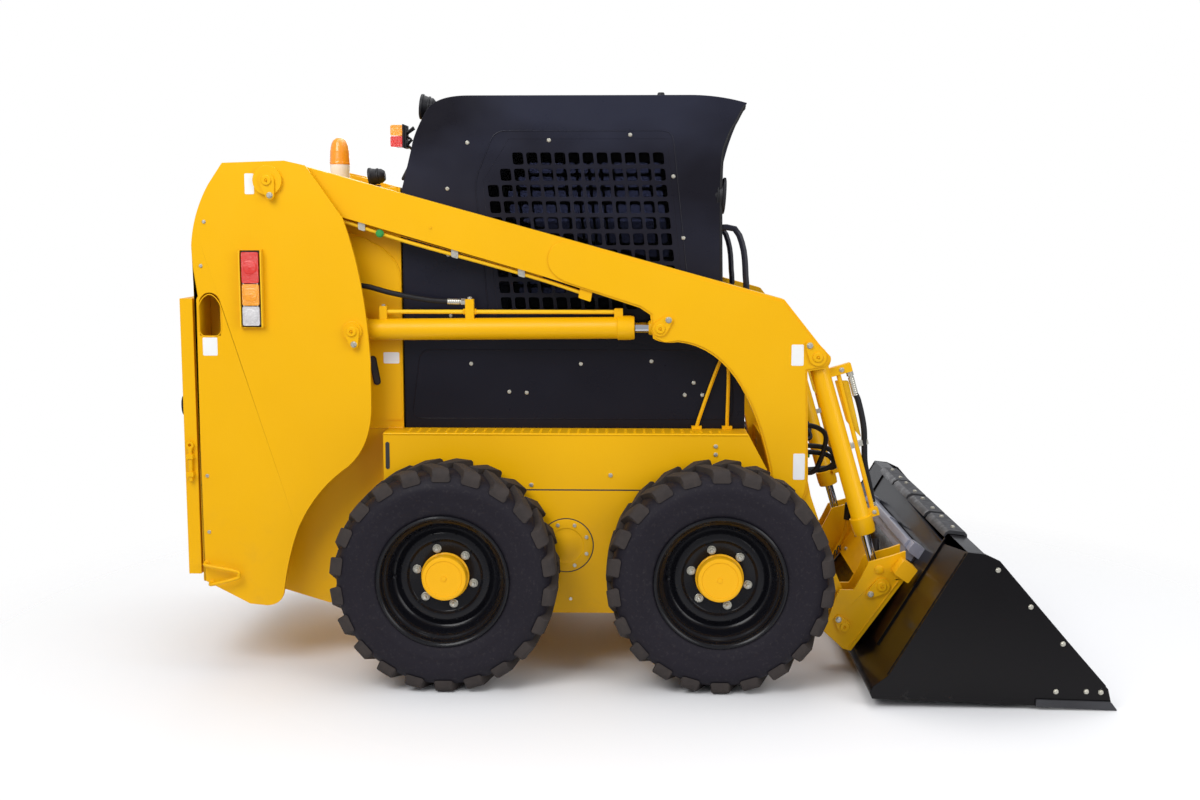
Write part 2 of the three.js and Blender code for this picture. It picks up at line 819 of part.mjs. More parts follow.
const heel = [front + 490, 32];
const backFoot = [front + 541, 110];
const backTop = [front + 787, 522];
const lip = [front + bucketReach, 0];
const sideBucketOutline = [
  heel,
  [front + 1270, 4],
  [front + 1254, 70],
  [front + 891, 493],
  [front + 842, 516],
  backTop,
  backFoot,
  [front + 493, 74],
  [front + 482, 52],
];
const shellOutline = [
  heel,
  [front + 1180, 4],
  lip,
  [lip[0] - 24, 16],
  [front + 1180, 18],
  [front + 500, 42],
  [front + 492, 52],
  [front + 500, 68],
  [front + 548, 104],
  [front + 798, 514],
  [front + 842, 506],
  [front + 843, 515],
  backTop,
  backFoot,
  [front + 493, 74],
  [front + 482, 52],
];
const spanBucket = bucketHalfWidth - bucketSide + 1;
const bucketParts = [slab(shellOutline, -spanBucket, spanBucket)];
for (const [, sign] of sides) {
  bucketParts.push(onSide(sign, sideBucketOutline, [bucketHalfWidth - bucketSide, bucketHalfWidth]));
}
// The mounting plate that the hitch's face bears on, its top bar and the bar's end blocks.
const mountHalf = lugIn[0];
const endBlock = [mountHalf + 9, mountHalf + 64];
bucketParts.push(
  slab(strip(0, 372, touch, 12), -mountHalf, mountHalf),
  slab([onFace(0, 11), [front + 543, 110], [front + 620, 238], onFace(120, 11)], -mountHalf, mountHalf),
  slab([onFace(300, 11), [front + 700, 375], [front + 782, 512], onFace(372, 11)], -mountHalf, mountHalf),
  slab(strip(372, 402, -30, 12), -mountHalf, mountHalf),
  slab(strip(401, 430, -45, 0), -endBlock[0] - 1, endBlock[0] + 1),
);
const endRib = [endBlock[0] + 9, endBlock[0] + 21];
const ribOutline = [onFace(418, 10), onFace(150, 10), [front + 640, 270], [front + 784, 512]];
for (const [, sign] of sides) {
  bucketParts.push(onSide(sign, strip(398, 438, -36, 16), endBlock));
  bucketParts.push(onSide(sign, ribOutline, endRib));
}
place("bucket", join(...bucketParts), black);

// ---------------------------------------------------------------- wheels
// Profiles run along the wheel's axis, with 0 at the tyre's inner side wall. The tyre's bead
// seats lie `beadDrop` inside the rim's radius.
const beadDrop = 14;
const tyreProfile = [
  [rimRadius - beadDrop, 30],
  [rimRadius + 14, 16],
  [rimRadius + 75, 0],
  [tyreRadius - 18, 20],
  [tyreRadius, 42],
  [tyreRadius, tyreWidth - 42],
  [tyreRadius - 18, tyreWidth - 20],
  [rimRadius + 75, tyreWidth],
  [rimRadius + 14, tyreWidth - 16],
  [rimRadius - beadDrop, tyreWidth - 30],
  [rimRadius - beadDrop, 30],
];
const discAt = tyreWidth - 95;
const rimSkin = (rimRadius - beadDrop) * Math.cos(Math.PI / tyreFacets) - touch;
const hubIn = 24;
const hubDepth = 70;
const flangeRadius = 90;
const hubBore = axleRadius / Math.cos(Math.PI / rimFacets) + touch;
const rimProfile = [
  [0, hubIn + hubDepth],
  [hubBore, hubIn + hubDepth],
  [hubBore, hubIn],
  [100, hubIn],
  [100, discAt - 10],
  [rimSkin - 22, discAt - 20],
  [rimSkin - 8, 40],
  [rimSkin - 8, 16],
  [rimSkin + 8, 16],
  [rimSkin, 24],
  [rimSkin, tyreWidth - 24],
  [rimSkin + 8, tyreWidth - 14],
  [rimSkin - 8, tyreWidth - 14],
  [rimSkin - 30, discAt + 10],
  [hubRadius + 30, discAt],
  [hubRadius, discAt],
  [hubRadius, discAt + 40],
  [hubRadius - 8, discAt + 46],
  [0, discAt + 48],
];
const axles = [["rear", 0], ["front", front]];
for (const [end, x] of axles) {
  for (const [name, sign] of sides) {
    const wheel = new THREE.Group();
    wheel.position.set(x, sign * tyreIn, axleHeight);
    wheel.rotation.z = sign > 0 ? 0 : Math.PI;
    machine.add(wheel);
    const tyre = turned(tyreProfile, tyreFacets);
    tyre.rotateY(Math.PI / 2 + Math.PI / tyreFacets);
    place(`tyre_${end}_${name}`, toSolid(tyre), rubber, wheel);
    place(`rim_${end}_${name}`, toSolid(turned(rimProfile, rimFacets)), black, wheel);
    const shaft = pin([0, 0], axleRadius, -running + touch, hubIn + hubDepth - 2, 24);
    const flange = pin([0, 0], flangeRadius, -running + touch, -touch, 24);
    place(`stub_axle_${end}_${name}`, join(shaft, flange), darkIron, wheel);
  }
}

// ---------------------------------------------------------------- origin
machine.position.x = -(lip[0] - rearReach) / 2;

export default machine;
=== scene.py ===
"""Looks of the skid steer loader: paint, tread, screens, cylinders, hoses, lamps, bolts and seat.

Shapes are written in millimetres in the machine's own frame: x forward from the rear axle, y to
the left from the middle, z up from the ground. Piece.build() turns them into metres in the row's frame.
"""
import json
import math
import random

import bmesh
import bpy
import numpy as np
from mathutils import Matrix, Vector
from mathutils.geometry import delaunay_2d_cdt


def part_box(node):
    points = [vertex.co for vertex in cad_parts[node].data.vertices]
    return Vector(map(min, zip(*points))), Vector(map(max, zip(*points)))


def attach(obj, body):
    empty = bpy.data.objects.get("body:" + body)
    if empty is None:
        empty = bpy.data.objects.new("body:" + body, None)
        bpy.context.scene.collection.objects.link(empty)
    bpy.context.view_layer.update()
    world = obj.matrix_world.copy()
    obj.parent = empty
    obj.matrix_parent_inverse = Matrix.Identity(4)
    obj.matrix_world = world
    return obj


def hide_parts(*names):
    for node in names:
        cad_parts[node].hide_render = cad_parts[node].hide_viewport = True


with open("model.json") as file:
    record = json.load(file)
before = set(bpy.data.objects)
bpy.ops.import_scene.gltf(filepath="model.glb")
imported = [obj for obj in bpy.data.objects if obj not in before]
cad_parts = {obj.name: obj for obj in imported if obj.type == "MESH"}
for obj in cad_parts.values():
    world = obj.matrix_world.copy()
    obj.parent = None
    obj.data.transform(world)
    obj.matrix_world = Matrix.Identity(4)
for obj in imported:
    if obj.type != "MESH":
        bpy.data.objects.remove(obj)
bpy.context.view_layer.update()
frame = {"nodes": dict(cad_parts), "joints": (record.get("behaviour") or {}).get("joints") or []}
random.seed(7)


# ---------------------------------------------------------------- sizes taken from the frame
def span(node, axis):
    """A node's lowest and highest coordinate along an axis, in millimetres."""
    low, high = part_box(node)
    return low[axis] * 1000, high[axis] * 1000


def middle(node, axis):
    low, high = span(node, axis)
    return (low + high) / 2


REAR_AXLE = middle("tyre_rear_right", 0)
FRONT = middle("tyre_front_right", 0) - REAR_AXLE
AXLE_Z = middle("tyre_rear_right", 2)
TYRE_IN = span("tyre_rear_left", 1)[0]
TYRE_OUT = span("tyre_rear_left", 1)[1]
TYRE_WIDTH = TYRE_OUT - TYRE_IN
ARM_IN, ARM_OUT = span("lift_arm_left", 1)
ARM_MID = (ARM_IN + ARM_OUT) / 2
CASE_OUT = span("chassis_frame", 1)[1]
UPRIGHT_OUT = ARM_OUT + 35
CAB_HALF = span("cab_side_left", 1)[1]
CAB_REAR = span("cab_side_left", 0)[0] - REAR_AXLE
CAB_TOP = span("cab_side_left", 2)[1]
HOOD_TOP = span("hood", 2)[1]
DOOR_FACE = span("rear_door", 0)[0] - REAR_AXLE
BUCKET_HALF = span("bucket", 1)[1]
SIDES = (("right", -1), ("left", 1))


def box_of(node):
    """A node's box as x0, x1, y0, y1, z0, z1 in the machine's millimetres."""
    (x0, x1), (y0, y1), (z0, z1) = (span(node, axis) for axis in range(3))
    return x0 - REAR_AXLE, x1 - REAR_AXLE, y0, y1, z0, z1


def joint_point(name):
    """A hinge's place as (x, y, z) in the machine's millimetres."""
    joint = next(j for j in frame["joints"] if j["name"] == name)
    x, y, z = (c * 1000 for c in joint["pos_m"])
    return Vector((x - REAR_AXLE, y, z))


def slide_axis(name):
    joint = next(j for j in frame["joints"] if j["name"] == name)
    return Vector(joint["axis"]).normalized()


# ---------------------------------------------------------------- camera
CAMERA_AT = (0.0, -5.3825, 1.5635)
camera_data = bpy.data.cameras.new("camera")
camera_data.sensor_width = 36
camera_data.lens = 42.36
camera = bpy.data.objects.new("camera", camera_data)
camera.location = CAMERA_AT
camera.rotation_euler = (math.pi / 2 - 0.1222, 0, 0.0256)
bpy.context.scene.collection.objects.link(camera)
bpy.context.scene.camera = camera


# ---------------------------------------------------------------- materials
class Shader:
    """One procedural material: a Principled shader and the nodes that feed it."""

    def __init__(self, name, color, roughness, metallic=0.0, coat=0.0, coat_roughness=0.08, gloss=0.5):
        self.material = bpy.data.materials.new(name)
        self.material.use_nodes = True
        self.nodes = self.material.node_tree.nodes
        self.links = self.material.node_tree.links
        self.shader = self.nodes["Principled BSDF"]
        self.color = color
        self.shader.inputs["Base Color"].default_value = (*color, 1)
        self.shader.inputs["Roughness"].default_value = roughness
        self.shader.inputs["Metallic"].default_value = metallic
        self.shader.inputs["Specular IOR Level"].default_value = gloss
        self.shader.inputs["Coat Weight"].default_value = coat
        self.shader.inputs["Coat Roughness"].default_value = coat_roughness
        self.place = self.nodes.new("ShaderNodeTexCoord").outputs["Object"]
        self.normal = None

    def noise(self, scale, detail=3.0, rough=0.5, stretch=None):
        node = self.nodes.new("ShaderNodeTexNoise")
        node.inputs["Scale"].default_value = scale
        node.inputs["Detail"].default_value = detail
        node.inputs["Roughness"].default_value = rough
        source = self.place
        if stretch:
            mapping = self.nodes.new("ShaderNodeMapping")
            mapping.inputs["Scale"].default_value = stretch
            self.links.new(source, mapping.inputs["Vector"])
            source = mapping.outputs["Vector"]
        self.links.new(source, node.inputs["Vector"])
        return node.outputs["Fac"]

    def voronoi(self, scale, feature="F1"):
        node = self.nodes.new("ShaderNodeTexVoronoi")
        node.feature = feature
        node.inputs["Scale"].default_value = scale
        self.links.new(self.place, node.inputs["Vector"])
        return node.outputs["Distance"]

    def wave(self, scale, direction="X"):
        node = self.nodes.new("ShaderNodeTexWave")
        node.bands_direction = direction
        node.inputs["Scale"].default_value = scale
        self.links.new(self.place, node.inputs["Vector"])
        return node.outputs["Fac"]

    def ranged(self, source, low, high, to_low, to_high):
        node = self.nodes.new("ShaderNodeMapRange")
        for name, value in zip(("From Min", "From Max", "To Min", "To Max"), (low, high, to_low, to_high)):
            node.inputs[name].default_value = value
        self.links.new(source, node.inputs["Value"])
        return node.outputs["Result"]

    def mixed(self, factor, dark, light):
        node = self.nodes.new("ShaderNodeMix")
        node.data_type = "RGBA"
        for socket, value in ((node.inputs["A"], dark), (node.inputs["B"], light)):
            if isinstance(value, tuple):
                socket.default_value = (*value, 1)
            else:
                self.links.new(value, socket)
        self.links.new(factor, node.inputs["Factor"])
        return node.outputs["Result"]

    def tint(self, factor, low=0.9, high=1.06):
        """Varies the base colour from low to high times itself."""
        dark = tuple(min(1, c * low) for c in self.color)
        light = tuple(min(1, c * high) for c in self.color)
        color = self.mixed(factor, dark, light)
        self.links.new(color, self.shader.inputs["Base Color"])
        return color

    def base(self, color):
        self.links.new(color, self.shader.inputs["Base Color"])

    def rough(self, factor, low, high):
        value = self.ranged(factor, 0.3, 0.7, low, high)
        self.links.new(value, self.shader.inputs["Roughness"])

    def bump(self, height, strength, distance):
        node = self.nodes.new("ShaderNodeBump")
        node.inputs["Strength"].default_value = strength
        node.inputs["Distance"].default_value = distance
        self.links.new(height, node.inputs["Height"])
        if self.normal:
            self.links.new(self.normal, node.inputs["Normal"])
        self.normal = node.outputs["Normal"]
        self.links.new(self.normal, self.shader.inputs["Normal"])

    def height(self):
        """Metres above the ground."""
        split = self.nodes.new("ShaderNodeSeparateXYZ")
        self.links.new(self.place, split.inputs["Vector"])
        return split.outputs["Z"]

    def height_mask(self, low, high):
        """1 below `low` metres above the ground, falling to 0 at `high`."""
        return self.ranged(self.height(), low, high, 1, 0)

    def product(self, a, b):
        node = self.nodes.new("ShaderNodeMath")
        node.operation = "MULTIPLY"
        self.links.new(a, node.inputs[0])
        self.links.new(b, node.inputs[1])
        return node.outputs["Value"]


def paint(name, color, roughness, coat, peel=0.12, variation=(0.93, 1.04), gloss=0.16):
    """Sprayed paint: faint cloudiness, orange peel and uneven gloss."""
    s = Shader(name, color, roughness, coat=coat, gloss=gloss)
    s.tint(s.noise(2.3, 4), *variation)
    s.rough(s.noise(9, 5, 0.6), roughness * 0.82, roughness * 1.25)
    s.bump(s.noise(260, 2), peel, 0.0006)
    s.bump(s.noise(14, 2), peel * 0.5, 0.003)
    return s


def yellow_paint():
    """The body colour, with pale dust low down."""
    yellow = paint("paint_yellow", (0.84, 0.44, 0.002), 0.38, 0.06)
    low_down = yellow.height_mask(0.15, 0.75)
    dust = yellow.product(low_down, yellow.ranged(yellow.noise(7, 6, 0.7), 0.5, 0.75, 0, 0.5))
    clean = yellow.mixed(yellow.noise(2.3, 4), (0.80, 0.405, 0.001), (0.87, 0.465, 0.002))
    yellow.base(yellow.mixed(dust, clean, (0.64, 0.33, 0.03)))
    return yellow.material


def cab_paint():
    """Near-black, with soft cloudy reflections painted into its colour towards the roof."""
    black = paint("paint_cab_black", (0.006, 0.0055, 0.0105), 0.3, 0.07, 0.07)
    cloudy = black.noise(1.5, 3, 0.45, (1, 1, 1.6))
    high_up = black.ranged(black.height(), 1.0, 1.95, 0.15, 1)
    # Painted sheen: a lighter navy mixed into the colour in patches, strongest high up, in place of
    # reflections.
    painted_sheen = black.product(black.ranged(cloudy, 0.42, 0.62, 0, 1), high_up)
    black.base(black.mixed(painted_sheen, (0.0055, 0.0048, 0.0095), (0.019, 0.0205, 0.036)))
    return black.material


def bucket_paint():
    """Black, worn to grey near the ground."""
    bucket = paint("paint_bucket", (0.0035, 0.0028, 0.0035), 0.22, 0.08, 0.1, (0.7, 1.3))
    scratched = bucket.product(
        bucket.ranged(bucket.noise(5, 7, 0.75, (1, 6, 1)), 0.56, 0.7, 0, 1), bucket.height_mask(0.01, 0.09)
    )
    bucket.base(bucket.mixed(scratched, (0.0035, 0.0028, 0.0035), (0.05, 0.046, 0.042)))
    return bucket.material


def side_wall_rubber():
    """The smooth rubber of the side walls."""
    rubber = Shader("tyre_rubber", (0.021, 0.018, 0.022), 0.62, gloss=0.14)
    patchy = rubber.noise(5, 5, 0.65)
    fine = rubber.noise(90, 4, 0.7)
    cloudy = rubber.mixed(patchy, (0.0085, 0.0072, 0.0115), (0.018, 0.0155, 0.022))
    rubber.base(rubber.mixed(rubber.ranged(fine, 0.55, 0.8, 0, 0.5), cloudy, (0.06, 0.053, 0.052)))
    rubber.rough(patchy, 0.48, 0.72)
    rubber.bump(fine, 0.25, 0.001)
    rubber.bump(rubber.noise(420, 2), 0.3, 0.0004)
    return rubber.material


def tread_rubber():
    """Dusty, matt rubber."""
    tread = Shader("tyre_tread", (0.04, 0.034, 0.034), 0.8, gloss=0.2)
    worn = tread.noise(22, 6, 0.7)
    tread.base(tread.mixed(worn, (0.015, 0.013, 0.014), (0.064, 0.052, 0.047)))
    tread.rough(worn, 0.7, 0.92)
    tread.bump(worn, 0.5, 0.002)
    tread.bump(tread.noise(300, 3), 0.4, 0.0005)
    return tread.material


def hose_rubber():
    """Ribbed by its braid."""
    hose = Shader("hose_rubber", (0.008, 0.0075, 0.009), 0.5, gloss=0.3)
    hose.tint(hose.noise(40, 3), 0.6, 1.6)
    hose.bump(hose.wave(260, "DIAGONAL"), 0.25, 0.0006)
    return hose.material


def moulded_plastic():
    """Fine-grained black plastic."""
    trim = Shader("moulded_black", (0.01, 0.01, 0.013), 0.48, gloss=0.3)
    trim.tint(trim.noise(30, 4), 0.7, 1.4)
    trim.bump(trim.voronoi(700), 0.2, 0.0004)
    return trim.material


def rod_chrome():
    """Polished along the rod."""
    chrome = Shader("rod_chrome", (0.6, 0.61, 0.65), 0.14, 1.0)
    chrome.tint(chrome.noise(20, 3), 0.9, 1.05)
    chrome.rough(chrome.noise(60, 3), 0.08, 0.18)
    chrome.bump(chrome.noise(500, 2, 0.5, (1, 1, 30)), 0.03, 0.0002)
    return chrome.material


def zinc_plate():
    """Yellowish plating on bolts and fittings."""
    zinc = Shader("zinc_plate", (0.62, 0.6, 0.52), 0.34, 0.9)
    zinc.tint(zinc.noise(120, 4), 0.7, 1.15)
    zinc.rough(zinc.noise(200, 3), 0.28, 0.5)
    zinc.bump(zinc.noise(600, 2), 0.12, 0.0002)
    return zinc.material


def bar_paint():
    """Chipped grey on the bucket mount."""
    slate = paint("bar_grey", (0.19, 0.2, 0.28), 0.4, 0.25)
    chipped = slate.ranged(slate.noise(34, 7, 0.7), 0.6, 0.72, 0, 1)
    slate.base(slate.mixed(chipped, (0.27, 0.28, 0.35), (0.4, 0.41, 0.48)))
    return slate.material


def dark_iron():
    """Rough, unpainted."""
    iron = Shader("dark_iron", (0.045, 0.045, 0.05), 0.55, 0.5)
    iron.tint(iron.noise(15, 5), 0.6, 1.5)
    iron.rough(iron.noise(30, 4), 0.4, 0.7)
    iron.bump(iron.noise(180, 4), 0.3, 0.0008)
    return iron.material


def seat_vinyl():
    """Grained upholstery."""
    vinyl = Shader("seat_vinyl", (0.016, 0.016, 0.018), 0.5)
    vinyl.tint(vinyl.noise(6, 3), 0.8, 1.3)
    vinyl.rough(vinyl.noise(25, 3), 0.42, 0.6)
    vinyl.bump(vinyl.voronoi(420, "DISTANCE_TO_EDGE"), 0.35, 0.0006)
    vinyl.bump(vinyl.noise(60, 3), 0.15, 0.0012)
    return vinyl.material


def lens(name, color):
    """A ribbed lens with a faint painted glow."""
    lens = Shader(f"lens_{name}", color, 0.12, coat=0.8, coat_roughness=0.03)
    lens.tint(lens.voronoi(260), 0.78, 1.25)
    lens.bump(lens.wave(130, "Z"), 0.35, 0.0008)
    lens.shader.inputs["Transmission Weight"].default_value = 0.15
    # The faint emission is a painted glow: it also shows on caps, a buckle, a button and switches, which are
    # no lamps.
    lens.shader.inputs["Emission Color"].default_value = (*color, 1)
    lens.shader.inputs["Emission Strength"].default_value = 0.12
    return lens.material


def lamp_glass():
    """Ribbed glass over the reflectors."""
    glass = Shader("lamp_glass", (0.9, 0.93, 0.95), 0.03)
    glass.tint(glass.noise(8), 0.92, 1.0)
    glass.bump(glass.wave(90, "Y"), 0.1, 0.0005)
    glass.shader.inputs["Transmission Weight"].default_value = 0.92
    return glass.material


def blank_label():
    """A sticker with nothing on it."""
    label = Shader("blank_label", (0.86, 0.86, 0.85), 0.4, coat=0.3)
    label.tint(label.noise(30, 4), 0.93, 1.03)
    label.bump(label.noise(220), 0.05, 0.0003)
    return label.material


def green_plastic():
    """Dust caps."""
    green = Shader("green_cap", (0.02, 0.28, 0.05), 0.45)
    green.tint(green.noise(80, 3), 0.8, 1.2)
    green.bump(green.noise(400), 0.1, 0.0003)
    return green.material


def tinted_pane():
    """Dark window glass."""
    pane = Shader("tinted_pane", (0.07, 0.075, 0.11), 0.02)
    pane.tint(pane.noise(4), 0.92, 1.0)
    pane.bump(pane.noise(3), 0.03, 0.001)
    pane.shader.inputs["Transmission Weight"].default_value = 1.0
    pane.shader.inputs["IOR"].default_value = 1.1
    return pane.material


MAT = {
    "yellow": yellow_paint(),
    "hub_yellow": paint("paint_hub", (0.86, 0.43, 0.006), 0.42, 0.08).material,
    "pale_yellow": paint("paint_pale_yellow", (0.88, 0.52, 0.015), 0.4, 0.06).material,
    "black": cab_paint(),
    "rim": paint("paint_rim_black", (0.005, 0.005, 0.007), 0.26, 0.15, 0.08, (0.8, 1.2)).material,
    "bucket": bucket_paint(),
    "rubber": side_wall_rubber(),
    "tread": tread_rubber(),
    "hose": hose_rubber(),
    "trim": moulded_plastic(),
    "chrome": rod_chrome(),
    "zinc": zinc_plate(),
    "slate": bar_paint(),
    "iron": dark_iron(),
    "vinyl": seat_vinyl(),
    "glass": lamp_glass(),
    "label": blank_label(),
    "green": green_plastic(),
    "amber": lens("amber", (0.95, 0.33, 0.01)),
    "red": lens("red", (0.66, 0.014, 0.006)),
    "clear": lens("clear", (0.6, 0.58, 0.58)),
    "pane": tinted_pane(),
}


# ---------------------------------------------------------------- shapes, as (points, faces)
def loft(near, far):
    """The solid between two loops of as many points."""
    count = len(near)
    walls = [(i, (i + 1) % count, count + (i + 1) % count, count + i) for i in range(count)]
    return [*near, *far], [tuple(range(count)), tuple(range(2 * count - 1, count - 1, -1)), *walls]


def prism(outline, y0, y1):
    """An outline of (x, z) pushed from y0 to y1."""
    return loft([(x, y0, z) for x, z in outline], [(x, y1, z) for x, z in outline])


def rectangle(x0, x1, z0, z1):
    return [(x0, z0), (x1, z0), (x1, z1), (x0, z1)]


def block(x0, x1, y0, y1, z0, z1):
    return prism(rectangle(x0, x1, z0, z1), y0, y1)


def lathe(profile, segments=32, closed=False):
    """A profile of (radius, along) turned about the local z axis."""
    points, faces, rings = [], [], []
    for radius, along in profile:
        start = len(points)
        count = 1 if radius < 1e-6 else segments
        rings.append(list(range(start, start + count)))
        for i in range(count):
            angle = 2 * math.pi * i / segments
            points.append((radius * math.cos(angle), radius * math.sin(angle), along))
    pairs = list(zip(rings, rings[1:])) + ([(rings[-1], rings[0])] if closed else [])
    for a, b in pairs:
        for i in range(segments):
            j = (i + 1) % segments
            corners = [a[i % len(a)], a[j % len(a)], b[j % len(b)], b[i % len(b)]]
            face = tuple(dict.fromkeys(corners))
            if len(face) > 2:
                faces.append(face)
    return points, faces


def smooth_path(points, per=8):
    """Points on a Catmull-Rom curve through the given ones."""
    p = [Vector(q) for q in points]
    p = [p[0] * 2 - p[1], *p, p[-1] * 2 - p[-2]]
    out = []
    for a, b, c, d in zip(p, p[1:], p[2:], p[3:]):
        for k in range(per):
            t = k / per
            square, cube = 2 * a - 5 * b + 4 * c - d, 3 * b - a - 3 * c + d
            out.append(0.5 * (2 * b + (c - a) * t + square * t**2 + cube * t**3))
    out.append(p[-2])
    return out


def sweep(path, radius, sides=12):
    """A round bar along a list of points. radius is a number, or one for each point."""
    path = [Vector(q) for q in path]
    radii = radius if isinstance(radius, (list, tuple)) else [radius] * len(path)
    tangents = []
    for i in range(len(path)):
        tangents.append((path[min(i + 1, len(path) - 1)] - path[max(i - 1, 0)]).normalized())
    across = tangents[0].orthogonal().normalized()
    points, faces = [], []
    for i, (centre, tangent) in enumerate(zip(path, tangents)):
        across = (across - tangent * across.dot(tangent)).normalized()
        other = tangent.cross(across)
        for k in range(sides):
            angle = 2 * math.pi * k / sides
            points.append(centre + (across * math.cos(angle) + other * math.sin(angle)) * radii[i])
        if i:
            a, b = (i - 1) * sides, i * sides
            faces += [(a + k, a + (k + 1) % sides, b + (k + 1) % sides, b + k) for k in range(sides)]
    last = (len(path) - 1) * sides
    faces += [tuple(range(sides)), tuple(range(last + sides - 1, last - 1, -1))]
    return points, faces


def rounded(outline, radius, steps=4):
    """The outline with each corner turned into an arc-like curve."""
    out = []
    count = len(outline)
    for i, corner in enumerate(outline):
        c = Vector(corner)
        before = Vector(outline[i - 1]) - c
        after = Vector(outline[(i + 1) % count]) - c
        reach = min(radius, before.length * 0.49, after.length * 0.49)
        a = c + before.normalized() * reach
        b = c + after.normalized() * reach
        for k in range(steps + 1):
            t = k / steps
            out.append(tuple(a * (1 - t) ** 2 + c * 2 * t * (1 - t) + b * t**2))
    return out


def disc(centre, radius, steps=24, start=0.0, end=2 * math.pi):
    """Points of an arc or circle in the xz plane."""
    full = abs(end - start - 2 * math.pi) < 1e-6
    count = steps if full else steps + 1
    turn = (end - start) / steps
    return [(centre[0] + radius * math.cos(start + turn * i), centre[1] + radius * math.sin(start + turn * i))
            for i in range(count)]


def capsule(a, b, radius_a, radius_b, steps=10):
    """The outline round two circles of the xz plane."""
    angle = math.atan2(b[1] - a[1], b[0] - a[0])
    gap = math.hypot(b[0] - a[0], b[1] - a[1])
    lean = math.acos(max(-1, min(1, (radius_a - radius_b) / gap)))
    return disc(a, radius_a, steps, angle + lean, angle + 2 * math.pi - lean) + disc(
        b, radius_b, steps, angle - lean, angle + lean
    )


def aim(origin, direction, up=None):
    """A matrix that takes the local z axis to a direction, and x towards `up` if given."""
    z = Vector(direction).normalized()
    x = Vector(up) if up else z.orthogonal()
    x = (x - z * x.dot(z)).normalized()
    y = z.cross(x)
    return Matrix.Translation(Vector(origin)) @ Matrix((x, y, z)).transposed().to_4x4()


# ---------------------------------------------------------------- pieces
class Piece:
    """Solids with their materials that become one object on one body."""

    def __init__(self, name, body):
        self.name, self.body = name, body
        self.points, self.faces, self.owners, self.materials = [], [], [], []
        self.count = 0

    def add(self, shape, material, matrix=None):
        points, faces = shape
        points = np.array([tuple(p) for p in points], float)
        if matrix is not None:
            points = points @ np.array(matrix.to_3x3()).T + np.array(matrix.translation)
        if material not in self.materials:
            self.materials.append(material)
        self.points.append(points)
        self.faces += [tuple(i + self.count for i in face) for face in faces]
        self.owners += [self.materials.index(material)] * len(faces)
        self.count += len(points)
        return self

    def turn(self, profile, segments, material, at, direction):
        """A turned part that stands on a point, along a direction."""
        return self.add(lathe(profile, segments), MAT[material], aim(at, direction))

    def loop(self, points, radius, sides, material):
        """A closed round bead."""
        return self.add(sweep([*points, points[0]], radius, sides), MAT[material])

    def bolt(self, at, direction, size=8, material="zinc", washer=True):
        """A hexagon head of nominal size on a washer, its underside at a point."""
        thick = size * 0.18 if washer else 0
        if washer:
            rim = size * 1.08
            flat = [(0, 0), (rim, 0), (rim, thick * 0.7), (rim * 0.94, thick), (0, thick)]
            self.turn(flat, 20, material, at, direction)
        head, top = size * 0.95, thick + size * 0.62
        hexagon = [(0, thick), (head, thick), (head, top * 0.86), (head * 0.86, top), (0, top)]
        self.turn(hexagon, 6, material, at, direction)
        shank, end = size * 0.45, top + size * 0.12
        self.turn([(0, top - 0.5), (shank, top - 0.5), (shank, end), (0, end)], 12, material, at, direction)
        return self

    def mesh(self):
        mesh = bpy.data.meshes.new(self.name)
        points = np.vstack(self.points) + (REAR_AXLE, 0, 0)
        mesh.from_pydata((points / 1000).tolist(), [], self.faces)
        for material in self.materials:
            mesh.materials.append(material)
        mesh.polygons.foreach_set("material_index", self.owners)
        shell = bmesh.new()
        shell.from_mesh(mesh)
        bmesh.ops.recalc_face_normals(shell, faces=shell.faces)
        shell.to_mesh(mesh)
        shell.free()
        mesh.polygons.foreach_set("use_smooth", [True] * len(mesh.polygons))
        return mesh

    def build(self, bevel=0.8, angle=34, replaces=()):
        mesh = self.mesh()
        made = bpy.data.objects.new(self.name, mesh)
        bpy.context.scene.collection.objects.link(made)
        if bevel:
            add_bevel(made, bevel, angle)
        else:
            mesh.set_sharp_from_angle(angle=math.radians(angle))
        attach(made, self.body)
        if replaces:
            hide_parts(*replaces)
        return made


def add_bevel(obj, width, angle=34, segments=2):
    bevel = obj.modifiers.new("bevel", "BEVEL")
    bevel.width = width / 1000
    bevel.segments = segments
    bevel.limit_method = "ANGLE"
    bevel.angle_limit = math.radians(angle)
    bevel.use_clamp_overlap = True
    bevel.harden_normals = True
    bevel.miter_outer = "MITER_ARC"


def finish_node(name, material, bevel=1.2):
    """Gives a CAD node its material, and rounds its edges without moving its vertices."""
    node = frame["nodes"][name]
    mesh = node.data
    mesh.materials.clear()
    mesh.materials.append(material)
    if "custom_normal" in mesh.attributes:
        mesh.attributes.remove(mesh.attributes["custom_normal"])
    mesh.polygons.foreach_set("use_smooth", [True] * len(mesh.polygons))
    weld = node.modifiers.new("weld", "WELD")
    weld.merge_threshold = 0.00002
    add_bevel(node, bevel, 32)
    node.modifiers["bevel"].use_clamp_overlap = False


def finish_nodes():
    finishes = {
        "yellow": ["chassis_frame", "upright_", "door_hinge_", "hood_hinge_rail", "rear_door", "hood",
                   "entry_rail_", "lift_arm_", "arm_crossmember", "hitch_frame"],
        "black": ["cab_side_", "cab_roof", "cab_back", "seat_box", "seat_base", "grab_handle_"],
        "iron": ["engine_block", "stub_axle_", "pedal_", "control_lever_"],
        "bucket": ["bucket"],
    }
    for material, names in finishes.items():
        for node in frame["nodes"]:
            if any(node == name or (name.endswith("_") and node.startswith(name)) for name in names):
                finish_node(node, MAT[material], 0.6 if "rail_" in node or "handle" in node else 1.2)


finish_nodes()


# ---------------------------------------------------------------- helpers for the machine's sides
def ring(inner, outer, half, segments=32):
    """A flat ring about the local z axis, `half` thick each way."""
    return lathe([(inner, -half), (outer, -half), (outer, half), (inner, half)], segments, closed=True)


def plate(outline, sign, near, far):
    """An outline of (x, z) between two distances from the machine's middle, on one side."""
    return prism(outline, sign * near, sign * far)


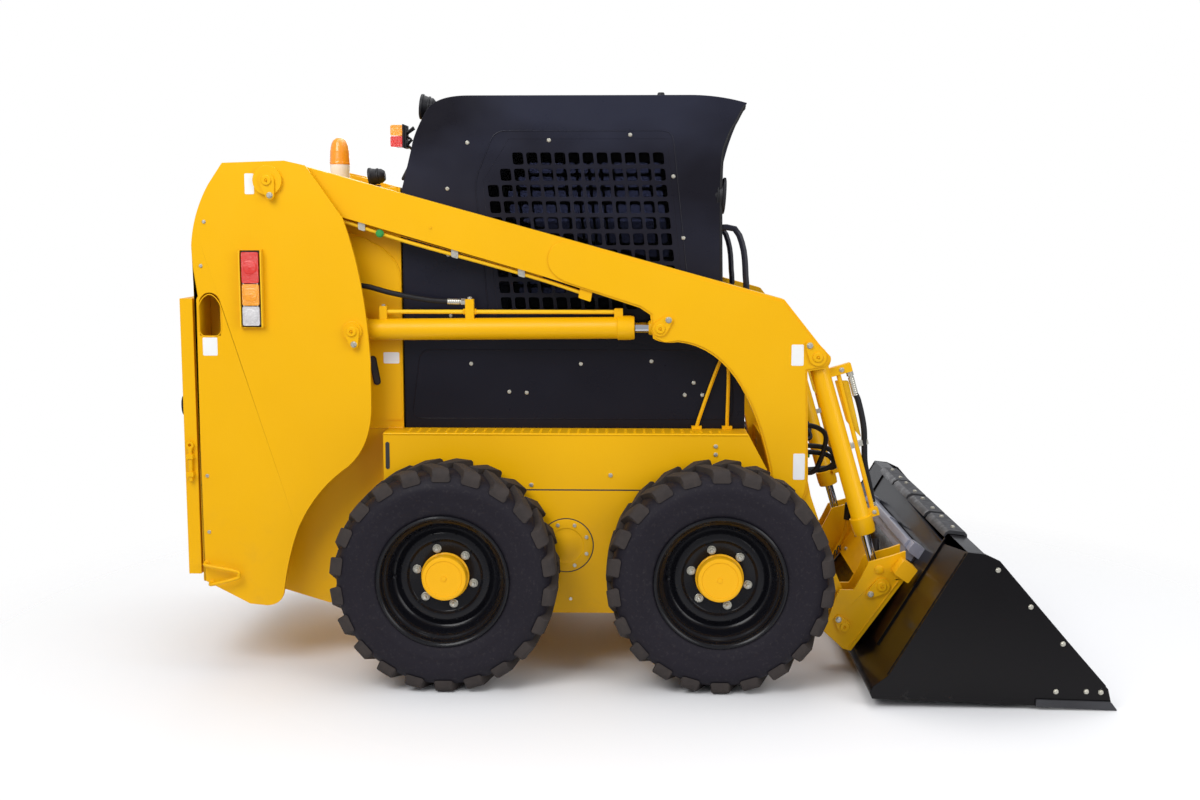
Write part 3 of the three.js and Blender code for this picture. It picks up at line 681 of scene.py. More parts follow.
def side_point(x, z, sign, distance):
    return (x, sign * distance, z)


def keeper(piece, pin, bolt_at, sign, face, pin_radius=26, bolt_radius=15, thick=8):
    """The tab and bolt that stop a pin turning, and the pin's end with its grease nipple."""
    tab = capsule(pin, bolt_at, pin_radius, bolt_radius)
    piece.add(plate(tab, sign, face, face + thick), MAT["yellow"])
    out = (0, sign, 0)
    piece.bolt(side_point(*bolt_at, sign, face + thick), out, 10)
    profile = [(0, 0), (17, 0), (17, 5), (15, 7), (6, 7), (5, 4), (3, 4), (3, 10), (1.6, 14), (0, 14)]
    piece.turn(profile, 24, "yellow", side_point(*pin, sign, face + thick - 1), out)


def weld(piece, path, radius=4.0, material="yellow"):
    """A bead laid along a path, with the ripples of a weld."""
    points = []
    for a, b in zip(path, path[1:]):
        a, b = Vector(a), Vector(b)
        steps = max(2, int((b - a).length / 9))
        points += [a.lerp(b, k / steps) for k in range(steps)]
    points.append(Vector(path[-1]))
    ripples = [0.16 * math.sin(i * 2.1) + random.uniform(-0.05, 0.05) for i in range(len(points))]
    piece.add(sweep(points, [radius * (1 + ripple) for ripple in ripples], 8), MAT[material])


def side_path(points, sign, face):
    return [side_point(x, z, sign, face) for x, z in points]


# ---------------------------------------------------------------- wheels
# Half of the carcass: (radius, how far in from the side wall's plane).
SHOULDER = [
    (212, 30), (224, 18), (236, 12), (250, 6), (255, 5.2), (260, 2.4), (266, 2.2), (272, 3.4),
    (285, 0.6), (298, -1.6), (314, -1.8), (326, 2), (338, 9), (348, 18), (356, 28), (362, 44),
    (364.5, 70), (366, 100),
]
# Each station of a lug: how far in from the side wall, top radius, root radius, half width,
# degrees of sweep.
LUG_STATIONS = [
    (6.5, 350, 338, 21, 0), (8, 364, 342, 27, 0), (15, 377, 348, 29, 0), (28, 383.5, 352, 28, 0.6),
    (56, 384.4, 356, 25, 2.7), (88, 384.4, 358, 22, 5.3), (118, 384.4, 358, 19, 7.8),
    (142, 384.4, 358, 17, 9.8),
]
LUGS = 22
DISC_AT = TYRE_WIDTH - 95  # the wheel disc's outer face


def wheel_place(end, sign):
    """The wheel's frame: its axis runs outwards from the tyre's inner side."""
    x = 0 if end == "rear" else FRONT
    return aim((x, sign * TYRE_IN, AXLE_Z), (0, sign, 0), (0, 0, 1))


def lug(row, turn):
    """One lug, as a run of four-sided sections from the side wall towards the middle."""
    points, faces = [], []
    for inset, top, root, half, sweep_by in LUG_STATIONS:
        along = TYRE_WIDTH - inset if row == 0 else inset
        for radius, spread in ((root, half + 4), (top, half), (top, -half), (root, -half - 4)):
            angle = turn + math.radians(sweep_by) + spread / radius
            points.append((radius * math.cos(angle), radius * math.sin(angle), along))
    last = 4 * (len(LUG_STATIONS) - 1)
    for a in range(0, last, 4):
        b = a + 4
        faces += [(a + j, a + (j + 1) % 4, b + (j + 1) % 4, b + j) for j in range(4)]
    faces += [(0, 1, 2, 3), (last + 3, last + 2, last + 1, last)]
    return points, faces


def tyre(end, side, sign):
    """Carcass with its side wall bulge, and two rows of chevron lugs a half pitch apart."""
    outer = [(radius, TYRE_WIDTH - inset) for radius, inset in SHOULDER]
    inner = [(radius, inset) for radius, inset in reversed(SHOULDER)]
    place = wheel_place(end, sign)
    piece = Piece(f"tyre_look_{end}_{side}", f"wheel_{end}_{side}")
    piece.add(lathe(outer + inner, 88, closed=True), MAT["rubber"], place)
    for row in range(2):
        for i in range(LUGS):
            piece.add(lug(row, 2 * math.pi * (i + row / 2) / LUGS), MAT["tread"], place)
    made = piece.build(2.2, 38, replaces=[f"tyre_{end}_{side}"])
    made.modifiers["bevel"].segments = 1


def rim_profile():
    """The dished disc with its stepped ring, the bead seats, and the back of the disc."""
    width = TYRE_WIDTH
    return [
        (0, DISC_AT), (118, DISC_AT), (124, DISC_AT + 3), (130, DISC_AT + 10), (146, DISC_AT + 12),
        (154, DISC_AT + 9), (162, DISC_AT + 2), (170, DISC_AT), (177, DISC_AT + 4), (183, DISC_AT + 14),
        (187, width - 62), (190, width - 50), (197, width - 42), (204, width - 36), (207, width - 28),
        (208, width - 20), (212, width - 12), (218, width - 9), (223, width - 11), (225.5, width - 16),
        (224, width - 22), (218, width - 24), (211, width - 23), (208, width - 30), (207, width - 44),
        (206, 40), (208, 30), (214, 23), (222, 20), (224, 14), (219, 9), (212, 11), (205, 20), (200, 34),
        (197, DISC_AT - 34), (188, DISC_AT - 16), (170, DISC_AT - 11), (100, DISC_AT - 11), (98, 26),
        (52, 24), (52, 92), (0, 92),
    ]


def wheel_nuts(piece, place, out):
    """Six nuts with their studs, and a ring of twelve rivets."""
    nut_circle, rivet_circle = 99, 150
    for i in range(6):
        angle = math.pi * i / 3 + 0.28
        at = place @ Vector((nut_circle * math.cos(angle), nut_circle * math.sin(angle), DISC_AT))
        piece.bolt(at, out, 14)
        piece.turn([(0, 0), (6.5, 0), (6.5, 12), (5, 13.5), (0, 13.5)], 12, "zinc", at + out * 9, out)
    for i in range(12):
        angle = math.pi * (i + 0.5) / 6
        spot = (rivet_circle * math.cos(angle), rivet_circle * math.sin(angle), DISC_AT + 11.4)
        piece.turn([(0, 0), (3.4, 0), (2.4, 1.6), (0, 2)], 10, "rim", place @ Vector(spot), out)


def rim(end, side, sign):
    """Steel rim with its nuts, valve and the hub's yellow cap."""
    place = wheel_place(end, sign)
    out = Vector((0, sign, 0))
    piece = Piece(f"rim_look_{end}_{side}", f"wheel_{end}_{side}")
    piece.add(lathe(rim_profile(), 72), MAT["rim"], place)
    cap = [(82, -1), (82, 5), (77, 8), (76, 38), (74, 43), (70, 45), (62, 45), (60, 42.5), (9, 42.5), (8, 45),
           (0, 45)]
    piece.add(lathe([(radius, DISC_AT + along) for radius, along in cap], 48), MAT["hub_yellow"], place)
    wheel_nuts(piece, place, out)
    valve = [(0, 0), (7, 0), (6, 7), (4, 9), (4, 22), (0, 23)]
    piece.turn(valve, 12, "trim", place @ Vector((0, 172, DISC_AT + 1)), out)
    piece.build(0, 40, replaces=[f"rim_{end}_{side}"])


def wheels():
    for end in ("rear", "front"):
        for side, sign in SIDES:
            tyre(end, side, sign)
            rim(end, side, sign)


# ---------------------------------------------------------------- hydraulic cylinders
LIFT_BASE = joint_point("lift_barrel_swing_right")
TILT_BASE = joint_point("tilt_barrel_swing_right")
LIFT_AXIS = slide_axis("lift_rod_slide_right")
TILT_AXIS = slide_axis("tilt_rod_slide_right")
LIFT_EYE_RADIUS = 33
TILT_EYE_RADIUS = 26
GREASE_NIPPLE = [(0, -2), (5, -2), (5, 3), (3, 4), (3, 9), (0, 10)]


def eye_distance(node, base, axis, radius):
    """How far the rod's eye lies from the base pin, from the node's far end."""
    if abs(axis.x) > abs(axis.z):
        end = span(node, 0)[1] - REAR_AXLE - radius
        return (end - base.x) / axis.x
    end = span(node, 2)[0] + radius
    return (end - base.z) / axis.z


LIFT_LENGTH = eye_distance("lift_rod_right", LIFT_BASE, LIFT_AXIS, LIFT_EYE_RADIUS)
TILT_LENGTH = eye_distance("tilt_rod_right", TILT_BASE, TILT_AXIS, TILT_EYE_RADIUS)
LIFT_REACH = LIFT_LENGTH - 88  # from the base pin to the tube's open end
TILT_REACH = TILT_LENGTH - 183


class Ram:
    """One cylinder's frame: points by distance along the axis, lift off it, and across."""

    def __init__(self, base, axis, sign, up):
        self.base = Vector((base.x, sign * ARM_MID, base.z))
        self.axis = axis
        self.up = (Vector(up) - axis * axis.dot(Vector(up))).normalized()
        self.sign = sign
        self.out = (0, sign, 0)
        self.place = aim(self.base, self.axis, self.up)

    def at(self, along, off=0.0, across=0.0):
        """`across` is measured outwards from the cylinder's middle."""
        return self.base + self.axis * along + self.up * off + Vector((0, self.sign * across, 0))

    def tube(self, piece, profile, material, segments=32, closed=False):
        """A part turned about the cylinder's own axis."""
        piece.add(lathe(profile, segments, closed), MAT[material], self.place)

    def eye(self, piece, along, inner, outer, half):
        place = aim(self.at(along), self.out, self.axis)
        shape = [(inner, -half), (outer - 2, -half), (outer, -half + 2), (outer, half - 2), (outer - 2, half),
                 (inner, half)]
        piece.add(lathe(shape, 36, closed=True), MAT["yellow"], place)

    def box(self, piece, along, off, across, material="yellow", soft=3):
        """A block between two distances along, off the axis and across."""
        corners = rounded(rectangle(*along, *off), soft, 2)
        near, far = ([self.at(a, o, c) for a, o in corners] for c in across)
        # The ends go last, because the order of the faces changes the bevel a little.
        points, (start, end, *walls) = loft(near, far)
        piece.add((points, [*walls, start, end]), MAT[material])

    def fitting(self, piece, start, end, radius=11):
        """A crimped hose end with its hexagon nut."""
        length = (end - start).length
        nut = radius * 1.15
        piece.turn([(0, 0), (nut, 0), (nut, 15), (0, 15)], 6, "zinc", start, end - start)
        sleeve = [(0, 14), (radius * 0.75, 14), (radius * 0.75, 19), (radius, 20)]
        z = 22
        while z < length - 4:
            sleeve += [(radius, z), (radius * 0.93, z + 1.5), (radius * 0.93, z + 3), (radius, z + 4.5)]
            z += 7
        sleeve += [(radius, length), (0, length)]
        piece.turn(sleeve, 18, "zinc", start, end - start)


def lift_pipe(piece, ram):
    """The pipe over the tube, from the rear block through the port block to the gland's block."""
    ram.box(piece, (82, 108), (26, 82), (-13, 13))
    ram.box(piece, (382, 412), (30, 104), (-14, 14))
    ram.box(piece, (900, 930), (30, 68), (-13, 13))
    piece.add(sweep([ram.at(100, 62), ram.at(914, 55)], 7.5, 16), MAT["pale_yellow"])
    for along in (378, 416):
        piece.turn([(0, -4), (11, -4), (11, 4), (0, 4)], 6, "yellow", ram.at(along, 60), ram.axis)
    piece.bolt(ram.at(397, 104), ram.up, 9)
    piece.bolt(ram.at(95, 82), ram.up, 7)


def lift_hose(piece, ram):
    """The hose leaves the port block backwards and goes in between the upright's plates."""
    out = ram.at(382, 94)
    fitting_end = out - ram.axis * 62 + ram.up * 2
    ram.fitting(piece, out, fitting_end)
    run = [(270, 100), (206, 110), (120, 128), (30, 152), (-30, 150)]
    path = [fitting_end + ram.axis * 8] + [ram.at(along, off) for along, off in run]
    piece.add(sweep(smooth_path(path, 10), 9.5, 14), MAT["hose"])


def lift_cylinder(side, sign):
    ram = Ram(LIFT_BASE, LIFT_AXIS, sign, (0, 0, 1))
    reach = LIFT_REACH
    piece = Piece(f"lift_barrel_look_{side}", f"lift_barrel_{side}")
    tube = [(0, 26), (30, 26), (36, 32), (38, 38), (38, reach - 62), (39, reach - 60), (42.5, reach - 58),
            (42.5, reach - 12), (41, reach - 9), (41, reach - 3), (38, reach), (26, reach), (26, reach - 2),
            (20.6, reach - 2), (20.6, 180), (0, 180)]
    ram.tube(piece, tube, "yellow", 36)
    ram.eye(piece, 0, 21, 40, 30)
    ram.tube(piece, [(34, 30), (40.5, 33), (41, 37), (38.5, 41), (34, 41)], "yellow", 36)
    wiper = [(21, reach - 3), (31, reach - 3), (31, reach + 1), (24, reach + 3), (20.8, reach + 3)]
    ram.tube(piece, wiper, "trim", closed=True)
    lift_pipe(piece, ram)
    lift_hose(piece, ram)
    piece.turn(GREASE_NIPPLE, 8, "zinc", ram.at(0, 40), ram.up)
    piece.build(0.9, 34, replaces=[f"lift_barrel_{side}"])

    rod = Piece(f"lift_rod_look_{side}", f"lift_rod_{side}")
    start, end = 198, LIFT_LENGTH - LIFT_EYE_RADIUS * 0.5
    ram.tube(rod, [(0, start), (19, start), (20, start + 1), (20, end - 22), (0, end - 22)], "chrome")
    neck = [(0, end - 23), (22, end - 23), (25, end - 19), (27, end - 8), (29, end + 2), (0, end + 2)]
    ram.tube(rod, neck, "yellow")
    ram.eye(rod, LIFT_LENGTH, 13, LIFT_EYE_RADIUS, 28)
    rod.turn([(0, -34.6), (14, -34.6), (14, 34.6), (0, 34.6)], 24, "chrome", ram.at(LIFT_LENGTH), (0, 1, 0))
    rod.build(0.7, 34, replaces=[f"lift_rod_{side}"])


def tilt_cylinder(side, sign):
    ram = Ram(TILT_BASE, TILT_AXIS, sign, (1, 0, 0))
    reach = TILT_REACH
    piece = Piece(f"tilt_barrel_look_{side}", f"tilt_barrel_{side}")
    tube = [(0, 24), (26, 24), (31, 30), (33, 36), (33, reach - 64), (34, reach - 62), (40, reach - 60),
            (40, reach - 16), (38.5, reach - 13), (38.5, reach - 4), (36, reach), (24, reach),
            (24, reach - 2), (16.6, reach - 2), (16.6, 170), (0, 170)]
    ram.tube(piece, tube, "yellow", 36)
    ram.eye(piece, 0, 21, 36, 30)
    wiper = [(16.9, reach - 3), (27, reach - 3), (27, reach + 1), (20, reach + 3), (16.8, reach + 3)]
    ram.tube(piece, wiper, "trim", closed=True)
    ram.tube(piece, [(30, 28), (35, 31), (36, 35), (33.5, 39), (30, 39)], "yellow", closed=True)
    ram.box(piece, (55, 86), (28, 108), (-14, 14))
    ram.box(piece, (572, 602), (28, 66), (-13, 13))
    piece.add(sweep([ram.at(80, 58), ram.at(590, 48)], 8, 16), MAT["yellow"])
    piece.bolt(ram.at(71, 72, 14), ram.out, 8)
    piece.bolt(ram.at(587, 50, 13), ram.out, 7)
    piece.turn(GREASE_NIPPLE, 8, "zinc", ram.at(0, 0, 30), ram.out)
    piece.build(0.9, 34, replaces=[f"tilt_barrel_{side}"])

    rod = Piece(f"tilt_rod_look_{side}", f"tilt_rod_{side}")
    start, end = 236, TILT_LENGTH - TILT_EYE_RADIUS * 0.5
    ram.tube(rod, [(0, start), (15, start), (16, start + 1), (16, end - 18), (0, end - 18)], "chrome")
    ram.tube(rod, [(0, end - 19), (18, end - 19), (21, end - 14), (23, end), (0, end)], "yellow")
    ram.eye(rod, TILT_LENGTH, 13, TILT_EYE_RADIUS, 26)
    rod.turn([(0, -46.6), (14, -46.6), (14, 46.6), (0, 46.6)], 24, "chrome", ram.at(TILT_LENGTH), (0, 1, 0))
    rod.build(0.7, 34, replaces=[f"tilt_rod_{side}"])


# ---------------------------------------------------------------- cab sides
WINDOW = [(200, 1866), (FRONT - 178, 1866), (FRONT - 112, 1250), (158, 1250), (108, 1720)]


def inside_outline(x, z, outline, margin):
    """True if (x, z) lies inside a convex outline by at least a margin."""
    count = len(outline)
    signs = []
    for i, (x0, z0) in enumerate(outline):
        x1, z1 = outline[(i + 1) % count]
        length = math.hypot(x1 - x0, z1 - z0)
        signs.append(((x1 - x0) * (z - z0) - (z1 - z0) * (x - x0)) / length)
    return all(s < -margin for s in signs) or all(s > margin for s in signs)


def punched_plate(outline, holes, y0, y1):
    """A plate with holes right through it: the outline and each hole are convex lists of (x, z)."""
    points = [Vector(p) for p in outline]
    loops = [list(range(len(outline)))]
    for hole in holes:
        loops.append(list(range(len(points), len(points) + len(hole))))
        points += [Vector(p) for p in hole]
    owner = [index for index, loop in enumerate(loops) for _ in loop]
    edges = [(loop[i], loop[(i + 1) % len(loop)]) for loop in loops for i in range(len(loop))]
    flat, _, triangles, from_points, _, _ = delaunay_2d_cdt(points, edges, [], 1, 1e-6)
    source = [owner[p[0]] for p in from_points]
    kept = []
    for face in triangles:
        owners = {source[i] for i in face}
        # A triangle with all its corners on one hole fills that hole.
        if owners == {0} or len(owners) > 1:
            kept.append(tuple(face))
    count = len(flat)
    verts = [(p.x, y0, p.y) for p in flat] + [(p.x, y1, p.y) for p in flat]
    faces = kept + [tuple(i + count for i in reversed(face)) for face in kept]
    place_of = {p[0]: i for i, p in enumerate(from_points)}
    for a, b in edges:
        a, b = place_of[a], place_of[b]
        faces.append((a, b, b + count, a + count))
    return verts, faces


def side_screen(side, sign):
    """The punched guard in the side window: rounded square holes in leaning columns."""
    holes = []
    pitch_x, pitch_z, lean = 49.0, 56.0, 0.107
    half_width, half_height = 19.0, 21.0
    for row in range(11):
        z = 1799 - row * pitch_z
        right = 721.5 + (1799 - z) * lean
        for column in range(14):
            x = right - column * pitch_x
            square = rectangle(-half_width, half_width, -half_height, half_height)
            corners = [(x + dx - dz * lean, z + dz) for dx, dz in square]
            if all(inside_outline(cx, cz, WINDOW, 6) for cx, cz in corners):
                holes.append(rounded(corners, 9, 3))
    piece = Piece(f"side_screen_look_{side}", "chassis")
    y0, y1 = sorted((sign * (CAB_HALF - 4.5), sign * (CAB_HALF - 0.3)))
    piece.add(punched_plate(WINDOW, holes, y0, y1), MAT["black"])
    piece.build(0.5, 40, replaces=[f"side_screen_{side}"])


def cab_fixings(side, sign):
    """Bolts on the cab's side, and the folded edges round its window and its lower panel."""
    piece = Piece(f"cab_fixings_{side}", "chassis")
    spots = [(55, 1854), (340, 1862), (623, 1880), (774, 1737), (810, 1524), (-17, 1695), (-17, 1465),
             (-10, 1250), (195, 980), (257, 977), (850, 1014), (819, 970), (881, 970), (60, 1080),
             (450, 1080), (700, 1090)]
    for point in side_path(spots, sign, CAB_HALF):
        piece.bolt(point, (0, sign, 0), 6.5)
    window = [(150, 1895), (FRONT - 160, 1895), (FRONT - 88, 1226), (128, 1226), (80, 1722)]
    piece.loop(side_path(rounded(window, 40, 5), sign, CAB_HALF + 0.2), 2.2, 8, "black")
    panel = [(CAB_REAR + 24, 884), (FRONT + 60, 884), (FRONT + 60, 1012), (FRONT + 6, 1130), (-120, 1130)]
    piece.loop(side_path(rounded(panel, 40, 5), sign, CAB_HALF + 0.1), 1.8, 8, "black")
    piece.build(0.4, 34)


# ---------------------------------------------------------------- lamps
def beacon():
    x0, x1, _, _, z0, _ = box_of("beacon")
    at = Vector(((x0 + x1) / 2, 0, z0))
    piece = Piece("beacon_look", "hood")
    place = aim(at, (0, 0, 1), (1, 0, 0))
    foot = [(0, 0), (42, 0), (42, 6), (40, 9), (38, 26), (35, 31), (0, 31)]
    piece.add(lathe(foot, 40), MAT["trim"], place)
    band = [(0, 30), (34, 30), (35, 34), (35, 70), (36.5, 74), (36.5, 95), (34, 98), (0, 98)]
    piece.add(lathe(band, 40), MAT["label"], place)
    dome = [(0, 97), (38, 97), (38.5, 101)]
    for k in range(6):
        dome += [(38.2 - 0.35 * k, 104 + 8 * k), (37.0 - 0.35 * k, 108 + 8 * k)]
    dome += [(34, 158), (30, 174), (24, 186), (14, 194), (0, 197)]
    piece.add(lathe(dome, 40), MAT["amber"], place)
    for i in range(3):
        angle = 2 * math.pi * i / 3
        spot = place @ Vector((39 * math.cos(angle), 39 * math.sin(angle), 7))
        piece.bolt(spot, (math.cos(angle), math.sin(angle), 0.6), 3, washer=False)
    piece.build(0.5, 34, replaces=["beacon"])


def tail_lamp(side, sign):
    """Three lenses on a moulded base: clear below, amber, and red on top."""
    x0, x1, _, _, z0, z1 = box_of(f"tail_lamp_{side}")
    near, far = UPRIGHT_OUT + 0.2, UPRIGHT_OUT + 28
    out = (0, sign, 0)
    lamp = Piece(f"tail_lamp_look_{side}", "chassis")
    base = rounded(rectangle(x0 - 3, x1 + 3, z0 - 3, z1 + 3), 10)
    lamp.add(plate(base, sign, near, near + 12), MAT["trim"])
    splits = [z0, z0 + (z1 - z0) * 0.27, z0 + (z1 - z0) * 0.57, z1]
    rings = [(0, 0), (24, 0), (24, 2), (20, 3.4), (16, 2.6), (12, 3.8), (8, 3), (4, 4), (0, 4.2)]
    for color, start, end in zip(("clear", "amber", "red"), splits, splits[1:]):
        low, high = start + 1.5, end - 1.5
        cover = rounded(rectangle(x0 + 2, x1 - 2, low, high), 7)
        lamp.add(plate(cover, sign, near + 11, far - 2), MAT[color])
        lamp.turn(rings, 28, color, side_point((x0 + x1) / 2, (low + high) / 2, sign, far - 3), out)
    for z in splits[1:3]:
        for x in (x0 + 7, x1 - 7):
            lamp.bolt(side_point(x, z, sign, far - 4), out, 2.6, washer=False)
    lamp.build(1.2, 34, replaces=[f"tail_lamp_{side}"])


def work_light(piece, at, direction, radius, depth):
    """A round lamp: ribbed housing, and glass over its dished reflector."""
    place = aim(at, direction, (0, 0, 1))
    housing = [(0, -1), (0.55, -1), (0.8, -0.8), (0.82, -0.62), (0.92, -0.6), (0.92, -0.5), (0.86, -0.48),
               (0.95, -0.2)]
    body = [(radius * r, depth * along) for r, along in housing]
    body += [(radius, -8), (radius * 1.06, -6), (radius * 1.06, 2), (radius * 0.94, 4), (radius * 0.9, 0),
             (0, 0)]
    piece.add(lathe(body, 32), MAT["trim"], place)
    dish = [(radius * 0.9, 0.4), (radius * 0.86, 2), (radius * 0.5, 3.6), (0, 4.4)]
    piece.add(lathe(dish, 32), MAT["glass"], place)


def indicator(piece, sign):
    """It stands off the cab's rear edge on a zigzag bracket."""
    y = sign * 330
    zigzag = [(-146, 1832), (-166, 1848), (-150, 1866), (-172, 1884), (-140, 1908)]
    piece.add(sweep([(x, y, z) for x, z in zigzag], 5, 8), MAT["trim"])
    piece.add(sweep([(x, y + sign * 14, z + 4) for x, z in zigzag], 4, 8), MAT["trim"])
    piece.add(block(-176, -166, y - 20, y + 34, 1838, 1918), MAT["trim"])
    for color, z0, z1 in (("red", 1842, 1880), ("amber", 1881, 1919)):
        piece.add(prism(rounded(rectangle(-222, -178, z0, z1), 7), y - 24, y + 36), MAT[color])
    piece.add(block(-180, -174, y - 26, y + 38, 1840, 1921), MAT["trim"])


def roof_lamps():
    """Rear work lights on the roof's rear corners, front ones beside the posts, and indicators."""
    roof = Piece("roof_lamps", "chassis")
    for side, sign in SIDES:
        y = sign * 300
        work_light(roof, (-118, y, 1986), (-1, 0, 0.1), 42, 50)
        roof.add(sweep([(-112, y, 1950), (-96, y, 1936), (-88, y, 1922)], 7, 10), MAT["trim"])
        front_y, foot_y = sign * 352, sign * 346
        work_light(roof, (FRONT + 24, front_y, 1671), (1, 0, -0.06), 60, 44)
        roof.add(block(FRONT - 40, FRONT - 10, front_y - 12, front_y + 12, 1676, 1704), MAT["trim"])
        roof.add(block(FRONT - 46, FRONT - 38, foot_y - 16, foot_y + 24, 1660, 1720), MAT["trim"])
        indicator(roof, sign)
    roof.build(1.0, 34)


def hood_lamp():
    piece = Piece("hood_lamp", "hood")
    x, y, z = -302, -200, HOOD_TOP + 40
    work_light(piece, (x - 24, y, z + 2), (-1, 0, -0.12), 32, 56)
    piece.add(block(x - 16, x + 14, y - 12, y + 12, HOOD_TOP, HOOD_TOP + 14), MAT["trim"])
    piece.build(1.0, 34)


# ---------------------------------------------------------------- uprights
ARM_PIVOT = joint_point("lift")
BUCKET_PIVOT = joint_point("bucket_tilt")
LIFT_EYE = LIFT_BASE + LIFT_AXIS * LIFT_LENGTH
TILT_EYE = TILT_BASE + TILT_AXIS * TILT_LENGTH
OVERLAY = 6.0  # the doubler plate's thickness on the arm's outer face


def flat_label(piece, x0, x1, z0, z1, sign, face):
    """A blank sticker."""
    piece.add(plate(rounded(rectangle(x0, x1, z0, z1), 5, 3), sign, face, face + 0.6), MAT["label"])


def upright_pins(piece, sign):
    """Keepers on the arm's and the lift cylinder's pins, with the spacers behind them."""
    for pin, across, down, boss in ((ARM_PIVOT, 10, 50, 14), (LIFT_BASE, 7, 44, 10)):
        bolt_at = (pin.x + across, pin.z - down)
        keeper(piece, (pin.x, pin.z), bolt_at, sign, UPRIGHT_OUT + boss)
        spacer = [(0, 0), (11, 0), (11, boss + 1), (0, boss + 1)]
        piece.turn(spacer, 20, "yellow", side_point(*bolt_at, sign, UPRIGHT_OUT - 0.5), (0, sign, 0))


def inner_plate(piece, sign):
    """The inner plate's doubler with its curved front edge, and a grommet for the hoses."""
    inner = CAB_HALF + 14
    doubler = [(-470, 1600), (-358, 1539), (-320, 1528), (-283, 1508), (-250, 1490), (-221, 1465),
               (-198, 1436), (-186, 1400), (-184, 1350), (-184, 880), (-470, 880)]
    piece.add(plate(doubler, sign, inner, inner + 4), MAT["yellow"])
    weld(piece, side_path(doubler[1:9], sign, inner + 3), 3)
    for radius, near, far, material in ((13, 3, 7, "hose"), (9, 6, 7.6, "iron")):
        grommet = capsule((-287, 1096), (-273, 1018), radius, radius)
        piece.add(plate(grommet, sign, inner + near, inner + far), MAT[material])
    flat_label(piece, -249, -193, 1082, 1122, sign, inner + 4)
    weld(piece, side_path([(-860, 852), (-184, 852)], sign, inner + 1), 4)
    weld(piece, side_path([(-184, 1346), (-184, 884)], sign, inner + 3.4), 2.6)


def rear_step(piece, sign):
    """The step loop low at the back, on two feet."""
    bar = [(-862, 388), (-855, 386), (-752, 366), (-742, 352), (-752, 340), (-838, 318), (-846, 318)]
    ends = (0, len(bar) - 1)
    path = [side_point(x, z, sign, UPRIGHT_OUT + (-1 if i in ends else 28)) for i, (x, z) in enumerate(bar)]
    piece.add(sweep(smooth_path(path, 6), 6, 12), MAT["yellow"])
    for x, z in (bar[0], bar[-1]):
        foot = [(0, 0), (11, 0), (11, 3), (8, 6), (0, 6)]
        piece.turn(foot, 20, "yellow", side_point(x, z, sign, UPRIGHT_OUT), (0, sign, 0))


def lamp_guard(piece, side, sign):
    """A folded strip along each side of the tail lamp."""
    x0, x1, _, _, z0, z1 = box_of(f"tail_lamp_{side}")
    for x in (x0 - 8, x1 + 4):
        edge = rounded(rectangle(x, x + 4, z0 - 4, z1 + 4), 1.5, 2)
        piece.add(plate(edge, sign, UPRIGHT_OUT, UPRIGHT_OUT + 26), MAT["pale_yellow"])
    for z in (z0 - 8, z1 + 4):
        edge = rectangle(x0 - 8, x1 + 8, z, z + 4)
        piece.add(plate(edge, sign, UPRIGHT_OUT, UPRIGHT_OUT + 12), MAT["yellow"])


def upright_details(side, sign):
    piece = Piece(f"upright_details_{side}", "chassis")
    upright_pins(piece, sign)
    flat_label(piece, -688, -656, 1673, 1743, sign, UPRIGHT_OUT)
    flat_label(piece, -850, -799, 1121, 1184, sign, UPRIGHT_OUT)
    inner_plate(piece, sign)
    rear_step(piece, sign)
    bolts = [(-848, 1430), (-832, 1580), (-850, 700), (-850, 500)]
    for point in side_path(bolts, sign, UPRIGHT_OUT):
        piece.bolt(point, (0, sign, 0), 6)
    vent = [(-862, 1186), (-782, 1186), (-782, 1302), (-822, 1342), (-862, 1302)]
    piece.loop(side_path(rounded(vent, 36, 6), sign, UPRIGHT_OUT + 0.4), 1.8, 8, "yellow")
    lamp_guard(piece, side, sign)
    piece.build(0.8, 34)


# ---------------------------------------------------------------- arms
def bend(start, pull, end, steps=10):
    """Points of a quadratic curve, both ends included."""
    a, b, c = Vector(start), Vector(end), Vector(pull)
    turns = [i / steps for i in range(steps + 1)]
    return [tuple(a * (1 - t) ** 2 + c * 2 * t * (1 - t) + b * t * t) for t in turns]


def arm_outline_points():
    """The doubler's outline: the arm's own, a little smaller, with a round rear end."""
    front = FRONT
    top = [(392, 1514), (front + 219, 1306), (front + 341, 1156), (front + 376, 1116), (front + 379, 1102),
           (front + 366, 1086), (front + 299, 1075), (front + 308, 690)]
    foot = bend((front + 308, 690), (front + 303, 628), (front + 278, 607), 6)[1:]
    foot += bend((front + 276, 607), (front + 216, 606), (front + 198, 644), 6)[1:]
    inner = bend((front + 190, 727), (front + 100, 1153), (front - 140, 1175), 16)
    tip = [(front - 186, 1168), (front - 218, 1184), (front - 228, 1266), (front - 268, 1293)]
    rear = bend((420, 1370), (352, 1394), (345, 1440), 8)
    rear += bend((345, 1440), (338, 1492), (392, 1514), 8)[1:-1]
    return top + foot + inner + tip + rear


